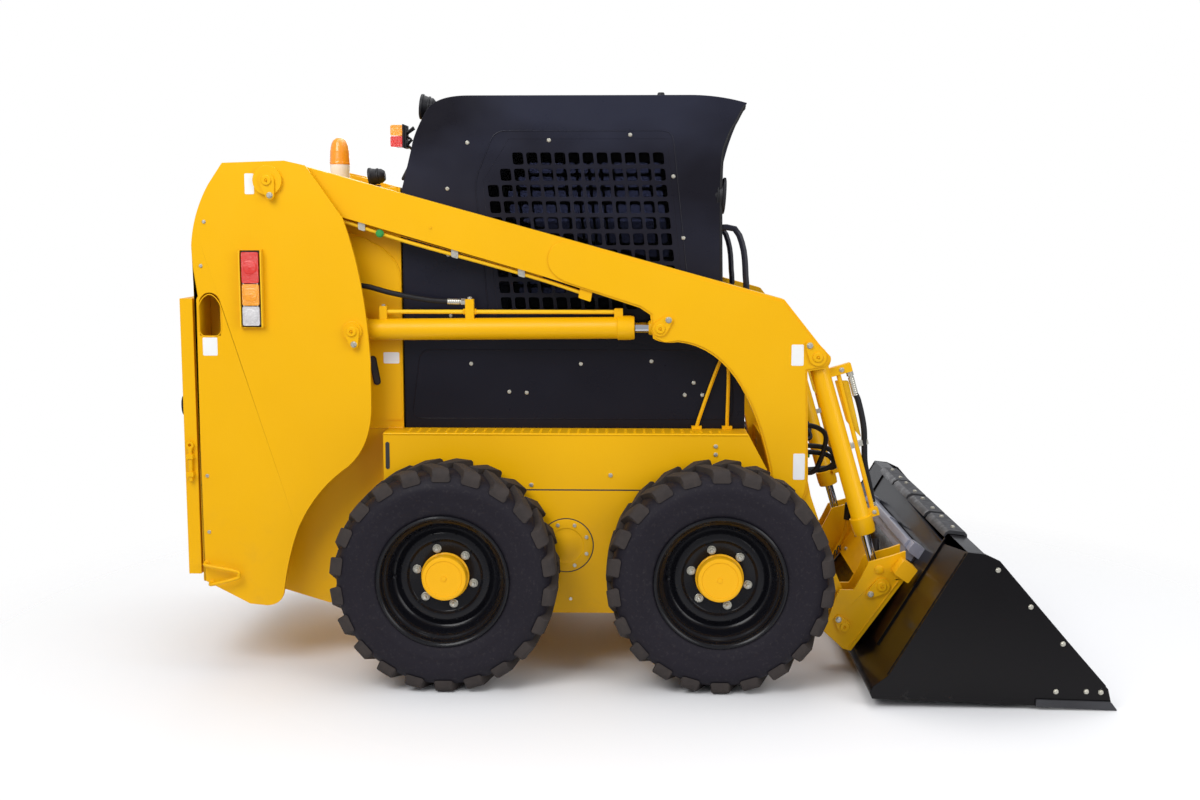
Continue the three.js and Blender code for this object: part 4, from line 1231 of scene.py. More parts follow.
def arm_pipes(piece, sign):
    """Two steel pipes run under the arm to a block, held by saddles; one has a green plug."""
    run = [(-470, 1614), (-377, 1586), (-256, 1546), (-150, 1513), (0, 1471), (151, 1430), (330, 1378),
           (455, 1337)]
    for across in (ARM_OUT - 20, ARM_OUT - 40):
        piece.add(sweep(smooth_path(side_path(run, sign, across), 6), 6.5, 12), MAT["pale_yellow"])
    for x, z in ((-300, 1566), (20, 1472), (250, 1407)):
        saddle = rounded([(x - 12, z - 12), (x + 12, z - 19), (x + 12, z + 12), (x - 12, z + 16)], 5, 2)
        piece.add(plate(saddle, sign, ARM_OUT - 52, ARM_OUT - 10), MAT["zinc"])
    end_block = rounded([(446, 1320), (488, 1306), (494, 1340), (452, 1354)], 4, 2)
    piece.add(plate(end_block, sign, ARM_OUT - 54, ARM_OUT - 8), MAT["yellow"])
    plug_at, out = side_point(-237, 1540, sign, ARM_OUT - 26), (0, sign, 0)
    plug = [(0, 0), (13, 0), (13, 12), (14, 14), (14, 20), (11, 22), (10, 26), (0, 27)]
    piece.turn(plug, 20, "green", plug_at, out)
    piece.turn([(0, -16), (8, -16), (8, 1), (0, 1)], 12, "zinc", plug_at, out)


def arm_welds(piece, sign):
    """Welds round the foot, where the narrower lower leg comes out of the arm, and along the arm."""
    leg = [(FRONT + 190, 640), (FRONT + 200, 616), (FRONT + 228, 602), (FRONT + 262, 598),
           (FRONT + 286, 602), (FRONT + 306, 632)]
    weld(piece, side_path(leg, sign, ARM_OUT - 13), 3.4)
    cross = rectangle(FRONT + 205, FRONT + 305, 650, 750)
    weld(piece, side_path([*cross, cross[0]], sign, ARM_IN - 2), 4.5)
    weld(piece, side_path([(-380, 1590), (320, 1389)], sign, ARM_IN + 12), 2.2)


def arm_hoses(piece, sign):
    """Hoses loop from the crossmember past the arm's front edge to the tilt cylinder."""
    for top, reach, spread in ((862, 392, 34), (786, 428, 52), (760, 430, 72)):
        run = [(250, -26, 742), (262, 0, top - 28), (300, 4, top), (reach - 30, 6, top - 8),
               (reach, 0, top - 50), (reach - 34, -12, 700), (302, -20, 690)]
        path = [(FRONT + x, sign * (ARM_IN - spread + shift), z) for x, shift, z in run]
        piece.add(sweep(smooth_path(path, 8), 9, 12), MAT["hose"])


def arm_details(side, sign):
    piece = Piece(f"arm_details_{side}", "lift_arm")
    outline = arm_outline_points()
    piece.add(plate(outline, sign, ARM_OUT, ARM_OUT + OVERLAY), MAT["yellow"])
    weld(piece, side_path([p for p in outline if p[0] < 420], sign, ARM_OUT + 1.5), 3.2)
    face = ARM_OUT + OVERLAY
    keeper(piece, (LIFT_EYE.x, LIFT_EYE.z), (LIFT_EYE.x + 29, LIFT_EYE.z + 30), sign, face)
    keeper(piece, (TILT_BASE.x, TILT_BASE.z), (TILT_BASE.x - 28, TILT_BASE.z + 40), sign, face, 30)
    flat_label(piece, 1180, 1222, 1088, 1161, sign, face)
    flat_label(piece, 1192, 1232, 690, 782, sign, face)
    arm_pipes(piece, sign)
    arm_welds(piece, sign)
    for point in side_path([(-480, 1700), (-60, 1560)], sign, ARM_OUT):
        piece.bolt(point, (0, sign, 0), 5, "yellow", washer=False)
    arm_hoses(piece, sign)
    piece.build(0.8, 34)


def tilt_hose(side, sign):
    """The tilt cylinder's hose with its fittings, the block it ends on, and a thin guard."""
    piece = Piece(f"tilt_hose_{side}", f"tilt_barrel_{side}")
    ram = Ram(TILT_BASE, TILT_AXIS, sign, (1, 0, 0))
    ram.fitting(piece, ram.at(86, 97), ram.at(172, 96))
    run = [(166, 96), (190, 100), (250, 98), (300, 92), (360, 78, -6), (420, 66, -16), (500, 62, -24),
           (560, 58, -30)]
    piece.add(sweep(smooth_path([ram.at(*place) for place in run], 8), 10.5, 14), MAT["hose"])
    ram.fitting(piece, ram.at(596, 54, -36), ram.at(548, 58, -29))
    guard = [(FRONT + 408, 1031), (FRONT + 456, 1031), (FRONT + 505, 830), (FRONT + 451, 888)]
    piece.add(plate(rounded(guard, 6, 2), sign, ARM_MID - 12, ARM_MID - 9), MAT["pale_yellow"])
    ram.box(piece, (590, 606), (26, 66), (-50, -8))
    ram.box(piece, (330, 350), (30, 96), (-14, 4), "zinc")
    piece.build(0.8, 34)


def crossmember_details():
    """The coupler block in the middle, its bolts, and two nameless plates behind."""
    piece = Piece("crossmember_details", "lift_arm")
    front, rear = FRONT + 305, FRONT + 205
    ahead = (1, 0, 0)
    piece.add(block(front, front + 26, -70, 70, 676, 728), MAT["iron"])
    coupler = [(0, 0), (15, 0), (15, 10), (18, 12), (18, 30), (15, 33), (12, 34), (12, 40), (0, 40)]
    for y in (-46, 0, 46):
        at = (front + 26, y, 702)
        piece.turn(coupler, 24, "zinc", at, ahead)
        piece.turn([(0, 40), (13, 40), (13, 46), (0, 48)], 24, "green" if y else "red", at, ahead)
    for y in (-250, 250, -150, 150):
        piece.bolt((front, y, 700), ahead, 8)
    for y in (-300, 300):
        piece.add(prism(rounded(rectangle(rear - 3, rear, 690, 710), 1, 1), y - 16, y + 16), MAT["zinc"])
    piece.build(0.8, 34)


# ---------------------------------------------------------------- chassis
def clear_of_wheels(x, z, margin):
    return math.hypot(x, z - AXLE_Z) > margin and math.hypot(x - FRONT, z - AXLE_Z) > margin


def case_skin(piece, sign):
    """The chain case's skin, a thin dark strip painted as the shade in the seam above it, and its folded top
    edge.
    """
    skin = [(-228, 222), (FRONT + 112, 222), (FRONT + 158, 306), (FRONT + 163, 648), (-228, 648)]
    piece.add(plate(rounded(skin, 14, 3), sign, CASE_OUT, CASE_OUT + 2.4), MAT["yellow"])
    # The thin dark iron strip along the seam is painted shade for the gap between the plates.
    seam = [(-228, 648), (FRONT + 163, 648), (FRONT + 163, 653), (-228, 653)]
    piece.add(plate(seam, sign, CASE_OUT, CASE_OUT + 0.5), MAT["iron"])
    fold = [(-234, 846), (FRONT + 104, 846)]
    piece.add(sweep(smooth_path(side_path(fold, sign, CASE_OUT - 2), 2), 4.5, 12), MAT["yellow"])


def case_cover(piece, sign):
    """The round cover between the wheels, with a thin dark ring painted as the shade of its groove."""
    out = (0, sign, 0)
    x, z = 403, 454
    # The dark iron ring round the cover is painted shade for the groove.
    groove = aim(side_point(x, z, sign, CASE_OUT + 2.3), out)
    piece.add(ring(92, 97, 0.4, 56), MAT["iron"], groove)
    cover = [(0, 0), (93, 0), (93, 2.2), (90, 3.4), (62, 3.4), (59, 1.2), (42, 1.2), (38, 3.2), (0, 3.2)]
    piece.turn(cover, 56, "yellow", side_point(x, z, sign, CASE_OUT + 2.2), out)
    for i in range(8):
        angle = math.pi * (i + 0.5) / 4
        bolt_x, bolt_z = x + 77 * math.cos(angle), z + 77 * math.sin(angle)
        if clear_of_wheels(bolt_x, bolt_z, 392):
            piece.bolt(side_point(bolt_x, bolt_z, sign, CASE_OUT + 4.6), out, 6.5)


def grip_dots(piece, sign):
    """Raised dots give grip on the top of the chain case, except round the entry rail's foot."""
    top = span("entry_rail_left", 2)[0]
    for i in range(34):
        for j in range(3):
            x, y = -150 + 33 * i, sign * (UPRIGHT_OUT - 120 + 34 * j)
            near_rail = FRONT - 110 < x < FRONT + 80 and j == 0
            if not near_rail and x < FRONT + 80:
                piece.turn([(0, 0), (7, 0), (4.5, 2.2), (0, 2.6)], 10, "yellow", (x, y, top), (0, 0, 1))


def chassis_details(side, sign):
    piece = Piece(f"chassis_details_{side}", "chassis")
    case_skin(piece, sign)
    case_cover(piece, sign)
    for x, z in ((558, 703), (923, 806), (923, 777), (418, 262), (281, 668), (560, 262)):
        if clear_of_wheels(x, z, 388):
            piece.bolt(side_point(x, z, sign, CASE_OUT), (0, sign, 0), 7)
    # The slot is a thin dark iron plate on the skin: painted shade for an opening.
    slot = capsule((-221, 811), (-221, 729), 7, 7)
    piece.add(plate(slot, sign, CASE_OUT, CASE_OUT + 1.4), MAT["iron"])
    grip_dots(piece, sign)
    # Drain plugs and tie rings under the belly.
    for x in (100, 460, 820):
        piece.bolt((x, sign * 470, 210), (0, 0, -1), 12)
    for x in (-120, FRONT + 60):
        piece.add(ring(16, 26, 7, 28), MAT["yellow"], aim((x, sign * 470, 204), (0, 1, 0)))
    piece.build(0.5, 34)


def chassis_ends():
    """Front tie rings, bolts and the ribbed step."""
    piece = Piece("chassis_ends", "chassis")
    x = FRONT + 160
    for y in (-300, 300):
        piece.add(ring(20, 32, 8, 32), MAT["yellow"], aim((x + 18, y, 392), (0, 1, 0)))
        piece.add(block(x - 2, x + 4, y - 30, y + 30, 350, 434), MAT["yellow"])
    for y in (-340, -170, 0, 170, 340):
        piece.bolt((x, y, 570), (1, 0, 0), 8)
        piece.bolt((x, y, 330), (1, 0, 0), 8)
    piece.add(block(x - 1, x + 10, -260, 260, 596, 600), MAT["yellow"])
    for i in range(13):
        y = -240 + 40 * i
        piece.add(block(x, x + 11, y - 3, y + 3, 600, 604), MAT["yellow"])
    piece.build(0.8, 34)


def valve_cover(piece, x0, x1, top):
    cover = rounded([(x0 + 70, top), (x1 - 70, top), (x1 - 76, top + 26), (x0 + 76, top + 26)], 8)
    piece.add(prism(cover, -110, 110), MAT["iron"])
    for i in range(5):
        x = x0 + 100 + 55 * i
        rib = rounded(rectangle(x, x + 22, top + 25, top + 32), 3)
        piece.add(prism(rib, -90, 90), MAT["iron"])
        for y in (-100, 100):
            piece.bolt((x + 11, y, top + 26), (0, 0, 1), 6)
    filler = [(0, 0), (22, 0), (22, 8), (26, 9), (26, 24), (22, 27), (0, 27)]
    piece.turn(filler, 20, "amber", (x0 + 90, 60, top + 26), (0, 0, 1))


def belt_drive(piece, x0):
    """Crank pulley, alternator pulley and the belt round them."""
    back = (-1, 0, 0)
    pulley = [(0, 0), (70, 0), (70, 6), (58, 12), (70, 18), (70, 24), (30, 26), (22, 40), (0, 40)]
    piece.turn(pulley, 40, "iron", (x0, 0, 470), back)
    piece.turn([(0, 0), (34, 0), (34, 24), (28, 28), (0, 28)], 28, "zinc", (x0, 150, 560), back)
    belt = [(0, 400), (-68, 470), (0, 540), (116, 572), (172, 566), (176, 540), (70, 440), (0, 400)]
    piece.add(sweep(smooth_path([(x0 - 14, y, z) for y, z in belt], 8), 6, 10), MAT["hose"])


def air_cleaner(piece, x0):
    can = [(0, 0), (62, 0), (66, 6), (66, 40), (60, 44), (60, 250), (66, 254), (66, 290), (60, 300), (0, 300)]
    piece.turn(can, 36, "trim", (x0 - 60, -150, 640), (0, 1, 0))
    pipe = [(x0 - 60, -160, 640), (x0 - 60, -210, 640), (x0 - 20, -240, 690), (x0 + 60, -210, 740),
            (x0 + 100, -150, 740)]
    piece.add(sweep(smooth_path(pipe, 8), 26, 16), MAT["hose"])
    piece.add(block(x0 - 76, x0 - 44, -110, 110, 560, 580), MAT["iron"])


def engine_details():
    piece = Piece("engine_details", "chassis")
    x0, x1, _, _, _, top = box_of("engine_block")
    valve_cover(piece, x0, x1, top)
    belt_drive(piece, x0)
    for i in range(7):
        z = 270 + 46 * i
        for y in (-301, 301):
            piece.add(block(x0 + 30, x1 - 30, min(y, y * 0.99), max(y, y * 0.99), z, z + 12), MAT["iron"])
    air_cleaner(piece, x0)
    piece.build(0.9, 34)


def radiator():
    """A finned core in a frame, between the door and the engine."""
    piece = Piece("radiator", "chassis")
    rear = -800
    for z0, z1 in ((380, 400), (800, 824)):
        piece.add(block(rear, rear + 60, -330, 330, z0, z1), MAT["iron"])
    for y in (-330, 310):
        piece.add(block(rear, rear + 60, y, y + 20, 380, 824), MAT["iron"])
    for i in range(52):
        z = 404 + 7.6 * i
        piece.add(block(rear + 8, rear + 50, -312, 312, z, z + 2.2), MAT["zinc"])
    for i in range(12):
        y = -290 + 52 * i
        piece.add(block(rear + 12, rear + 46, y, y + 6, 400, 802), MAT["iron"])
    for y in (-200, 200):
        piece.add(block(rear + 10, rear + 50, y - 12, y + 12, 300, 381), MAT["iron"])
    piece.build(0, 34)


# ---------------------------------------------------------------- rear door and hood
def door_louvres(piece):
    face = DOOR_FACE
    for row in range(11):
        z = 960 + 26 * row
        for y in (-250, 250):
            louvre = [(face + 1, z), (face - 9, z + 2), (face - 10, z + 4), (face + 1, z + 15)]
            piece.add(prism(louvre, y - 170, y + 170), MAT["yellow"])
    for z0, z1 in ((920, 1262), (420, 880)):
        edge = rounded(rectangle(-470, 470, z0, z1), 34, 6)
        piece.loop([(face - 0.2, y, z) for y, z in edge], 3, 8, "yellow")


def door_grille(piece):
    """A dark sheet of painted shade in the opening, behind a lattice of bars."""
    face = DOOR_FACE
    # The opening is a flat dark iron sheet on the door's face: painted shade for its shadowed inside.
    dark = rounded(rectangle(-400, 400, 480, 820), 20, 3)
    piece.add(([(face - 1.5, y, z) for y, z in dark], [tuple(range(len(dark)))]), MAT["iron"])
    for i in range(20):
        y = -380 + 40 * i
        piece.add(sweep([(face - 4, y, 484), (face - 4, y, 816)], 2.6, 6), MAT["yellow"])
    for i in range(9):
        z = 500 + 37.5 * i
        piece.add(sweep([(face - 7, -396, z), (face - 7, 396, z)], 2.6, 6), MAT["yellow"])
    for y, z in ((-408, 472), (408, 472), (-408, 828), (408, 828), (0, 828), (0, 472)):
        piece.bolt((face, y, z), (-1, 0, 0), 6)


def door_latch(piece):
    face = DOOR_FACE
    pan = rounded(rectangle(-512, -452, 880, 1000), 12, 3)
    near, far = ([(x, y, z) for y, z in pan] for x in (face - 3, face + 0.5))
    piece.add(loft(near, far), MAT["trim"])
    grip = [(-2, 905), (-16, 912), (-20, 940), (-16, 968), (-2, 975)]
    piece.add(sweep(smooth_path([(face + x, -496, z) for x, z in grip], 6), 6, 12), MAT["trim"])
    piece.turn([(0, 0), (11, 0), (11, 4), (4, 5), (0, 5)], 20, "zinc", (face - 3, -468, 940), (-1, 0, 0))


def drop_bolt(piece):
    """The bolt on the door's free edge, with the hole for a padlock."""
    x, y = DOOR_FACE + 22, -(UPRIGHT_OUT + 11)
    piece.turn([(0, 0), (8, 0), (8, 116), (0, 116)], 20, "yellow", (x, y, 684), (0, 0, 1))
    piece.add(ring(6, 13, 4, 24), MAT["yellow"], aim((x, y, 810), (0, 1, 0)))
    for z in (700, 762):
        piece.add(block(x - 12, x + 12, y - 12, -UPRIGHT_OUT + 1, z, z + 16), MAT["yellow"])


def door_details():
    piece = Piece("rear_door_details", "rear_door")
    door_louvres(piece)
    door_grille(piece)
    door_latch(piece)
    drop_bolt(piece)
    piece.build(0.6, 34)


def hood_top(piece, sign):
    """Louvres, and the hinge strap with its bolts, on one side of the hood's top."""
    for row in range(7):
        x = -740 + 34 * row
        louvre = [(x, -0.5), (x + 16, -0.5), (x + 14, 8), (x + 12, 9)]
        piece.add(prism([(a, HOOD_TOP + up) for a, up in louvre], sign * 60, sign * 330), MAT["yellow"])
    for x in (-230, -270):
        piece.bolt((x, sign * 300, HOOD_TOP), (0, 0, 1), 6.5)
    strap = rounded(rectangle(-290, -206, sign * 280, sign * 320), 10, 3)
    near, far = ([(x, y, HOOD_TOP + up) for x, y in strap] for up in (4, -0.5))
    piece.add(loft(near, far), MAT["yellow"])


def hood_handle(piece):
    """The handle on the sloping rear face."""
    start, end = Vector((-872, 0, 1550)), Vector((-782, 0, 1700))
    along = (end - start).normalized()
    normal = Vector((-along.z, 0, along.x))
    bar = ((-70, -2), (-66, 22), (-50, 30), (50, 30), (66, 22), (70, -2))
    grip = [start + along * 60 + Vector((0, y, 0)) + normal * off for y, off in bar]
    piece.add(sweep(smooth_path(grip, 5), 7, 12), MAT["trim"])


def hood_details():
    piece = Piece("hood_details", "hood")
    for side, sign in SIDES:
        hood_top(piece, sign)
    for y in (-360, 360):
        piece.add(sweep([(-380, y, HOOD_TOP), (-760, y, HOOD_TOP)], 4, 10), MAT["yellow"])
    hood_handle(piece)
    for row in range(5):
        z = 1362 + 34 * row
        louvre = [(-871, z), (-881, z + 3), (-882, z + 5), (-871, z + 20)]
        piece.add(prism(louvre, -300, 300), MAT["yellow"])
    piece.build(0.6, 34)


# ---------------------------------------------------------------- hitch and bucket
HITCH_FOOT = Vector((FRONT + 475, 81))
HITCH_TOP = Vector((FRONT + 661, 343))
FACE_UP = (HITCH_TOP - HITCH_FOOT).normalized()
FACE_OUT = Vector((FACE_UP.y, -FACE_UP.x))


def on_face(along, off):
    """A point (x, z) a distance up the hitch's mounting face and another ahead of it."""
    return tuple(HITCH_FOOT + FACE_UP * along + FACE_OUT * off)


def strip(a0, a1, o0, o1, soft=3):
    return rounded([on_face(a0, o0), on_face(a0, o1), on_face(a1, o1), on_face(a1, o0)], soft, 2)


def locking_lever(piece, sign):
    """The lever stands between the lugs, with its spring and grip."""
    y = ARM_IN - 60
    run = [(40, -22, 0), (120, -26, 0), (200, -34, 0), (262, -52, 8), (300, -78, 20)]
    points = []
    for along, off, inwards in run:
        x, z = on_face(along, off)
        points.append(Vector((x, sign * (y - inwards), z)))
    piece.add(sweep(smooth_path(points, 6), 9, 12), MAT["yellow"])
    tip = points[-1] + (points[-1] - points[-2]).normalized() * 70
    piece.add(sweep([points[-1], tip], [14, 13], 14), MAT["hose"])
    coil = []
    for i in range(73):
        angle = i * 2 * math.pi / 12
        x, z = on_face(60 + i * 1.9, -34)
        coil.append((x, sign * (y - 34) + 13 * math.cos(angle), z + 13 * math.sin(angle)))
    piece.add(sweep(coil, 2.4, 6), MAT["iron"])


def hitch_details(side, sign):
    piece = Piece(f"hitch_details_{side}", "bucket")
    face = ARM_OUT + 12
    top_pin, low_pin = (TILT_EYE.x, TILT_EYE.z), (BUCKET_PIVOT.x, BUCKET_PIVOT.z)
    keeper(piece, top_pin, (top_pin[0] - 38, top_pin[1] - 28), sign, face, 28, 15, 10.5)
    keeper(piece, low_pin, (low_pin[0] - 22, low_pin[1] + 26), sign, face, 24, 14, 10.5)
    boss = [(0, 0), (15, 0), (15, 5), (12, 7), (0, 7)]
    piece.turn(boss, 24, "yellow", side_point(1497, 374, sign, face), (0, sign, 0))
    # The crest stays outside the lug: a wider one met the tilt rod at full curl.
    piece.add(plate(strip(316, 374, -62, -2, 5), sign, ARM_OUT + 1, ARM_OUT + 75), MAT["hub_yellow"])
    for y in (ARM_OUT + 13, ARM_IN - 13):
        weld(piece, side_path([on_face(6, -13), on_face(296, -16)], sign, y), 3)
    weld(piece, side_path([on_face(312, -2), on_face(312, -58)], sign, face + 1), 3)
    locking_lever(piece, sign)
    for along in (32, 60, 200, 270):
        x, z = on_face(along, -16)
        piece.bolt((x, sign * (ARM_IN - 120), z), (-FACE_OUT[0], 0, -FACE_OUT[1]), 8)
    piece.build(0.9, 34)


def mount_bar(piece):
    """The mount's top bar in grey, with its raised ends and middle."""
    half = ARM_IN - 12
    piece.add(prism(strip(370, 403, -31, 13), -half - 1, half + 1), MAT["slate"])
    piece.add(prism(strip(400, 431, -46, 1, 5), -half - 12, half + 12), MAT["slate"])
    for side, sign in SIDES:
        piece.add(plate(strip(397, 439, -37, 17, 6), sign, half + 8, half + 65), MAT["slate"])
    piece.add(prism(strip(420, 435, -42, -4, 4), -34, 34), MAT["slate"])


def cleats(piece):
    """Folded straps along the top lip, each with two bolts."""
    top_x, top_z = FRONT + 787, 522
    lean = math.atan2(516 - top_z, 55)
    cos, sin = math.cos(lean), math.sin(lean)
    profile = [(-6, 1), (50, 1), (58, -8), (62, -8), (60, 5), (52, 13), (-2, 13), (-14, 4), (-20, -10),
               (-15, -12)]
    outline = [(top_x + x * cos - z * sin, top_z + x * sin + z * cos) for x, z in profile]
    for centre, half in ((500, 150), (190, 140), (-140, 150), (-475, 150)):
        piece.add(prism(outline, centre - half, centre + half), MAT["iron"])
        for y in (-90, 90):
            piece.bolt((top_x + 24, centre + y, top_z + 9.5), (-sin, 0, cos), 8)


def cutting_edge(piece):
    edge = [(FRONT + 1287, 0.6), (FRONT + 1262, 18), (FRONT + 1150, 22), (FRONT + 1150, 17)]
    piece.add(prism(edge, -BUCKET_HALF + 13, BUCKET_HALF - 13), MAT["iron"])
    for i in range(9):
        piece.bolt((FRONT + 1190, -800 + 200 * i, 19.6), (0, 0, 1), 10)


def bucket_side(piece, sign):
    """One side plate's bolts, wear bars and welds."""
    bolts = [(1815, 464), (1924, 343), (2032, 221), (2160, 60), (2113, 62), (2015, 61)]
    for point in side_path(bolts, sign, BUCKET_HALF):
        piece.bolt(point, (0, sign, 0), 8)
    lower = [(FRONT + 1284, 1), (FRONT + 1262, 30), (FRONT + 1020, 36), (FRONT + 1020, 12)]
    piece.add(plate(rounded(lower, 5, 2), sign, BUCKET_HALF - 0.5, BUCKET_HALF + 9), MAT["iron"])
    upper = [(FRONT + 1252, 76), (FRONT + 890, 489), (FRONT + 876, 478), (FRONT + 1236, 66)]
    piece.add(plate(rounded(upper, 4, 2), sign, BUCKET_HALF - 14, BUCKET_HALF - 11.5), MAT["bucket"])
    inside = [(FRONT + 1170, 18), (FRONT + 502, 44), (FRONT + 506, 70), (FRONT + 550, 106),
              (FRONT + 796, 508)]
    weld(piece, side_path(inside, sign, BUCKET_HALF - 13), 3.6, "bucket")
    outside = [(FRONT + 541, 108), (FRONT + 784, 516)]
    weld(piece, side_path(outside, sign, BUCKET_HALF - 14), 3.6, "bucket")


def bucket_details():
    piece = Piece("bucket_details", "bucket")
    mount_bar(piece)
    cleats(piece)
    cutting_edge(piece)
    for side, sign in SIDES:
        bucket_side(piece, sign)
    rib = [(FRONT + 556, 128), (FRONT + 548, 134), (FRONT + 772, 508), (FRONT + 781, 508)]
    for y in (-620, 620):
        piece.add(prism(rib, y - 5, y + 5), MAT["bucket"])
    piece.build(0.8, 34)


# ---------------------------------------------------------------- cab fittings
CAB_INNER = CAB_HALF - 8
CAB_FLOOR = 506
REAR_SLOPE = Vector((49, 0, 94)).normalized()  # up the cab's rear face
REAR_BASE = Vector((-135, 0, 1840))


def on_rear(along, y, ahead=0):
    """A point up the cab's sloping rear face."""
    return REAR_BASE + REAR_SLOPE * along + Vector((ahead, y, 0))


def roof_details(piece):
    """Pressed beads, the hatch's seal and two rubber stops."""
    for y in (-260, -90, 90, 260):
        bead = [(90, y, CAB_TOP - 0.6), (FRONT - 140, y, CAB_TOP - 0.6)]
        piece.add(sweep(bead, 5, 12), MAT["black"])
    hatch = rounded(rectangle(250, 640, -190, 190), 40, 5)
    piece.loop([(x, y, CAB_TOP + 0.4) for x, y in hatch], 6, 10, "trim")
    for y in (-345, 345):
        stop = [(0, 0), (13, 0), (13, 9), (10, 14), (0, 14)]
        piece.turn(stop, 20, "trim", (FRONT - 200, y, CAB_TOP - 1), (0, 0, 1))


def front_edges(piece):
    """The open front's rubber edge on both sides, a panel inside it, and the bar along the roof."""
    edge = [(FRONT + 93, 1030), (FRONT + 59, 1086), (FRONT + 27, 1170), (FRONT + 15, 1344),
            (FRONT + 11, 1759), (FRONT + 31, 1866), (FRONT + 63, 1930), (FRONT + 89, 1980)]
    panel = [(FRONT - 56, 1100), (FRONT - 20, 1100), (FRONT - 44, 1360), (FRONT - 60, 1360)]
    for side, sign in SIDES:
        path = smooth_path(side_path(edge, sign, CAB_HALF - 3), 6)
        piece.add(sweep(path, 5.5, 10), MAT["hose"])
        piece.add(plate(rounded(panel, 6, 2), sign, CAB_INNER - 70, CAB_INNER - 40), MAT["trim"])
    bar = [(FRONT + 84, y, 1972) for y in (-CAB_INNER + 6, CAB_INNER - 6)]
    piece.add(sweep(bar, 9, 12), MAT["black"])


def lining_and_mat(piece):
    """Head lining, and the ribbed floor mat."""
    lining = rounded(rectangle(80, FRONT - 110, CAB_TOP - 22, CAB_TOP - 13), 4, 2)
    piece.add(prism(lining, -CAB_INNER + 20, CAB_INNER - 20), MAT["vinyl"])
    piece.add(block(FRONT - 330, FRONT + 132, -100, 100, CAB_FLOOR, CAB_FLOOR + 6), MAT["hose"])
    for i in range(20):
        x = FRONT - 318 + 23 * i
        piece.add(block(x, x + 9, -96, 96, CAB_FLOOR + 5.5, CAB_FLOOR + 9), MAT["hose"])


def cab_details():
    piece = Piece("cab_details", "chassis")
    roof_details(piece)
    piece.loop([on_rear(a, y) for a, y in rectangle(-120, 60, -286, 286)], 6, 10, "hose")
    front_edges(piece)
    lining_and_mat(piece)
    piece.build(0.7, 34)


def cab_panes():
    """Tinted panes inside the punched side screens, and in the rear window."""
    piece = Piece("cab_panes", "chassis")
    grown = [(186, 1880), (FRONT - 166, 1880), (FRONT - 98, 1238), (144, 1238), (94, 1722)]
    for side, sign in SIDES:
        piece.add(plate(rounded(grown, 26, 4), sign, CAB_HALF - 13, CAB_HALF - 9), MAT["pane"])
    corners = rectangle(-116, 56, -284, 284)
    near, far = ([on_rear(a, y, ahead) for a, y in corners] for ahead in (-2, 2))
    piece.add(loft(near, far), MAT["pane"])
    piece.build(0, 34)


def lever_grip(piece, side, sign):
    """A moulded grip with a red button, and the rubber boot at the lever's foot."""
    up = (0, 0, 1)
    tip = Vector((FRONT - 272, sign * 266, span(f"control_lever_{side}", 2)[1]))
    grip = [(0, -150), (17, -150), (19, -144), (16, -138), (18, -110), (16, -96), (18, -80), (16, -66),
            (19, -50), (21, -20), (24, -4), (22, 10), (12, 20), (0, 22)]
    piece.turn(grip, 28, "vinyl", tip, (0.05, 0.03 * sign, 1))
    piece.turn([(0, 0), (6, 0), (6, 5), (0, 6)], 16, "red", tip + Vector((0, 0, 20)), up)
    boot = [(0, 0)]
    for i in range(7):
        radius = 50 - 5 * i
        boot += [(radius, 6 + 11 * i), (radius - 7, 11 + 11 * i)]
    piece.turn([*boot, (0, 84)], 28, "hose", (FRONT - 240, sign * 250, 556), up)


def pedal_pad(piece, side):
    x0, x1, y0, y1, _, z = box_of(f"pedal_{side}")
    piece.add(block(x0 + 4, x1 - 4, y0 + 4, y1 - 4, z - 0.5, z + 5), MAT["hose"])
    for i in range(8):
        x = x0 + 12 + (x1 - x0 - 30) * i / 7
        piece.add(block(x, x + 6, y0 + 8, y1 - 8, z + 4.5, z + 8), MAT["hose"])


def switch_pod(piece, sign):
    """A pod with four switches on the front post."""
    pod = rounded([(FRONT - 130, 1420), (FRONT - 52, 1420), (FRONT - 60, 1620), (FRONT - 110, 1620)], 16, 3)
    piece.add(plate(pod, sign, CAB_HALF - 96, CAB_HALF - 42), MAT["trim"])
    switch = [(0, 0), (13, 0), (13, 4), (11, 6), (0, 6)]
    for i in range(4):
        at = (FRONT - 122 + 4 * i, sign * (CAB_HALF - 68), 1455 + 40 * i)
        piece.turn(switch, 20, "clear" if i % 2 else "amber", at, (-1, 0, 0.1))


def belt_end(piece, sign):
    """Half of the lap belt and its buckle, beside the cushion."""
    belt = [(110, sign * 236, 880), (180, sign * 250, 900), (230, sign * 252, 930), (262, sign * 246, 985)]
    piece.add(sweep(smooth_path(belt, 6), 9, 8), MAT["vinyl"])
    y0, y1 = sorted((sign * 236, sign * 256))
    piece.add(block(250, 300, y0, y1, 975, 1015), MAT["red"])


def controls():
    piece = Piece("controls", "chassis")
    for side, sign in SIDES:
        lever_grip(piece, side, sign)
        pedal_pad(piece, side)
        switch_pod(piece, sign)
        belt_end(piece, sign)
    piece.build(0.8, 34)


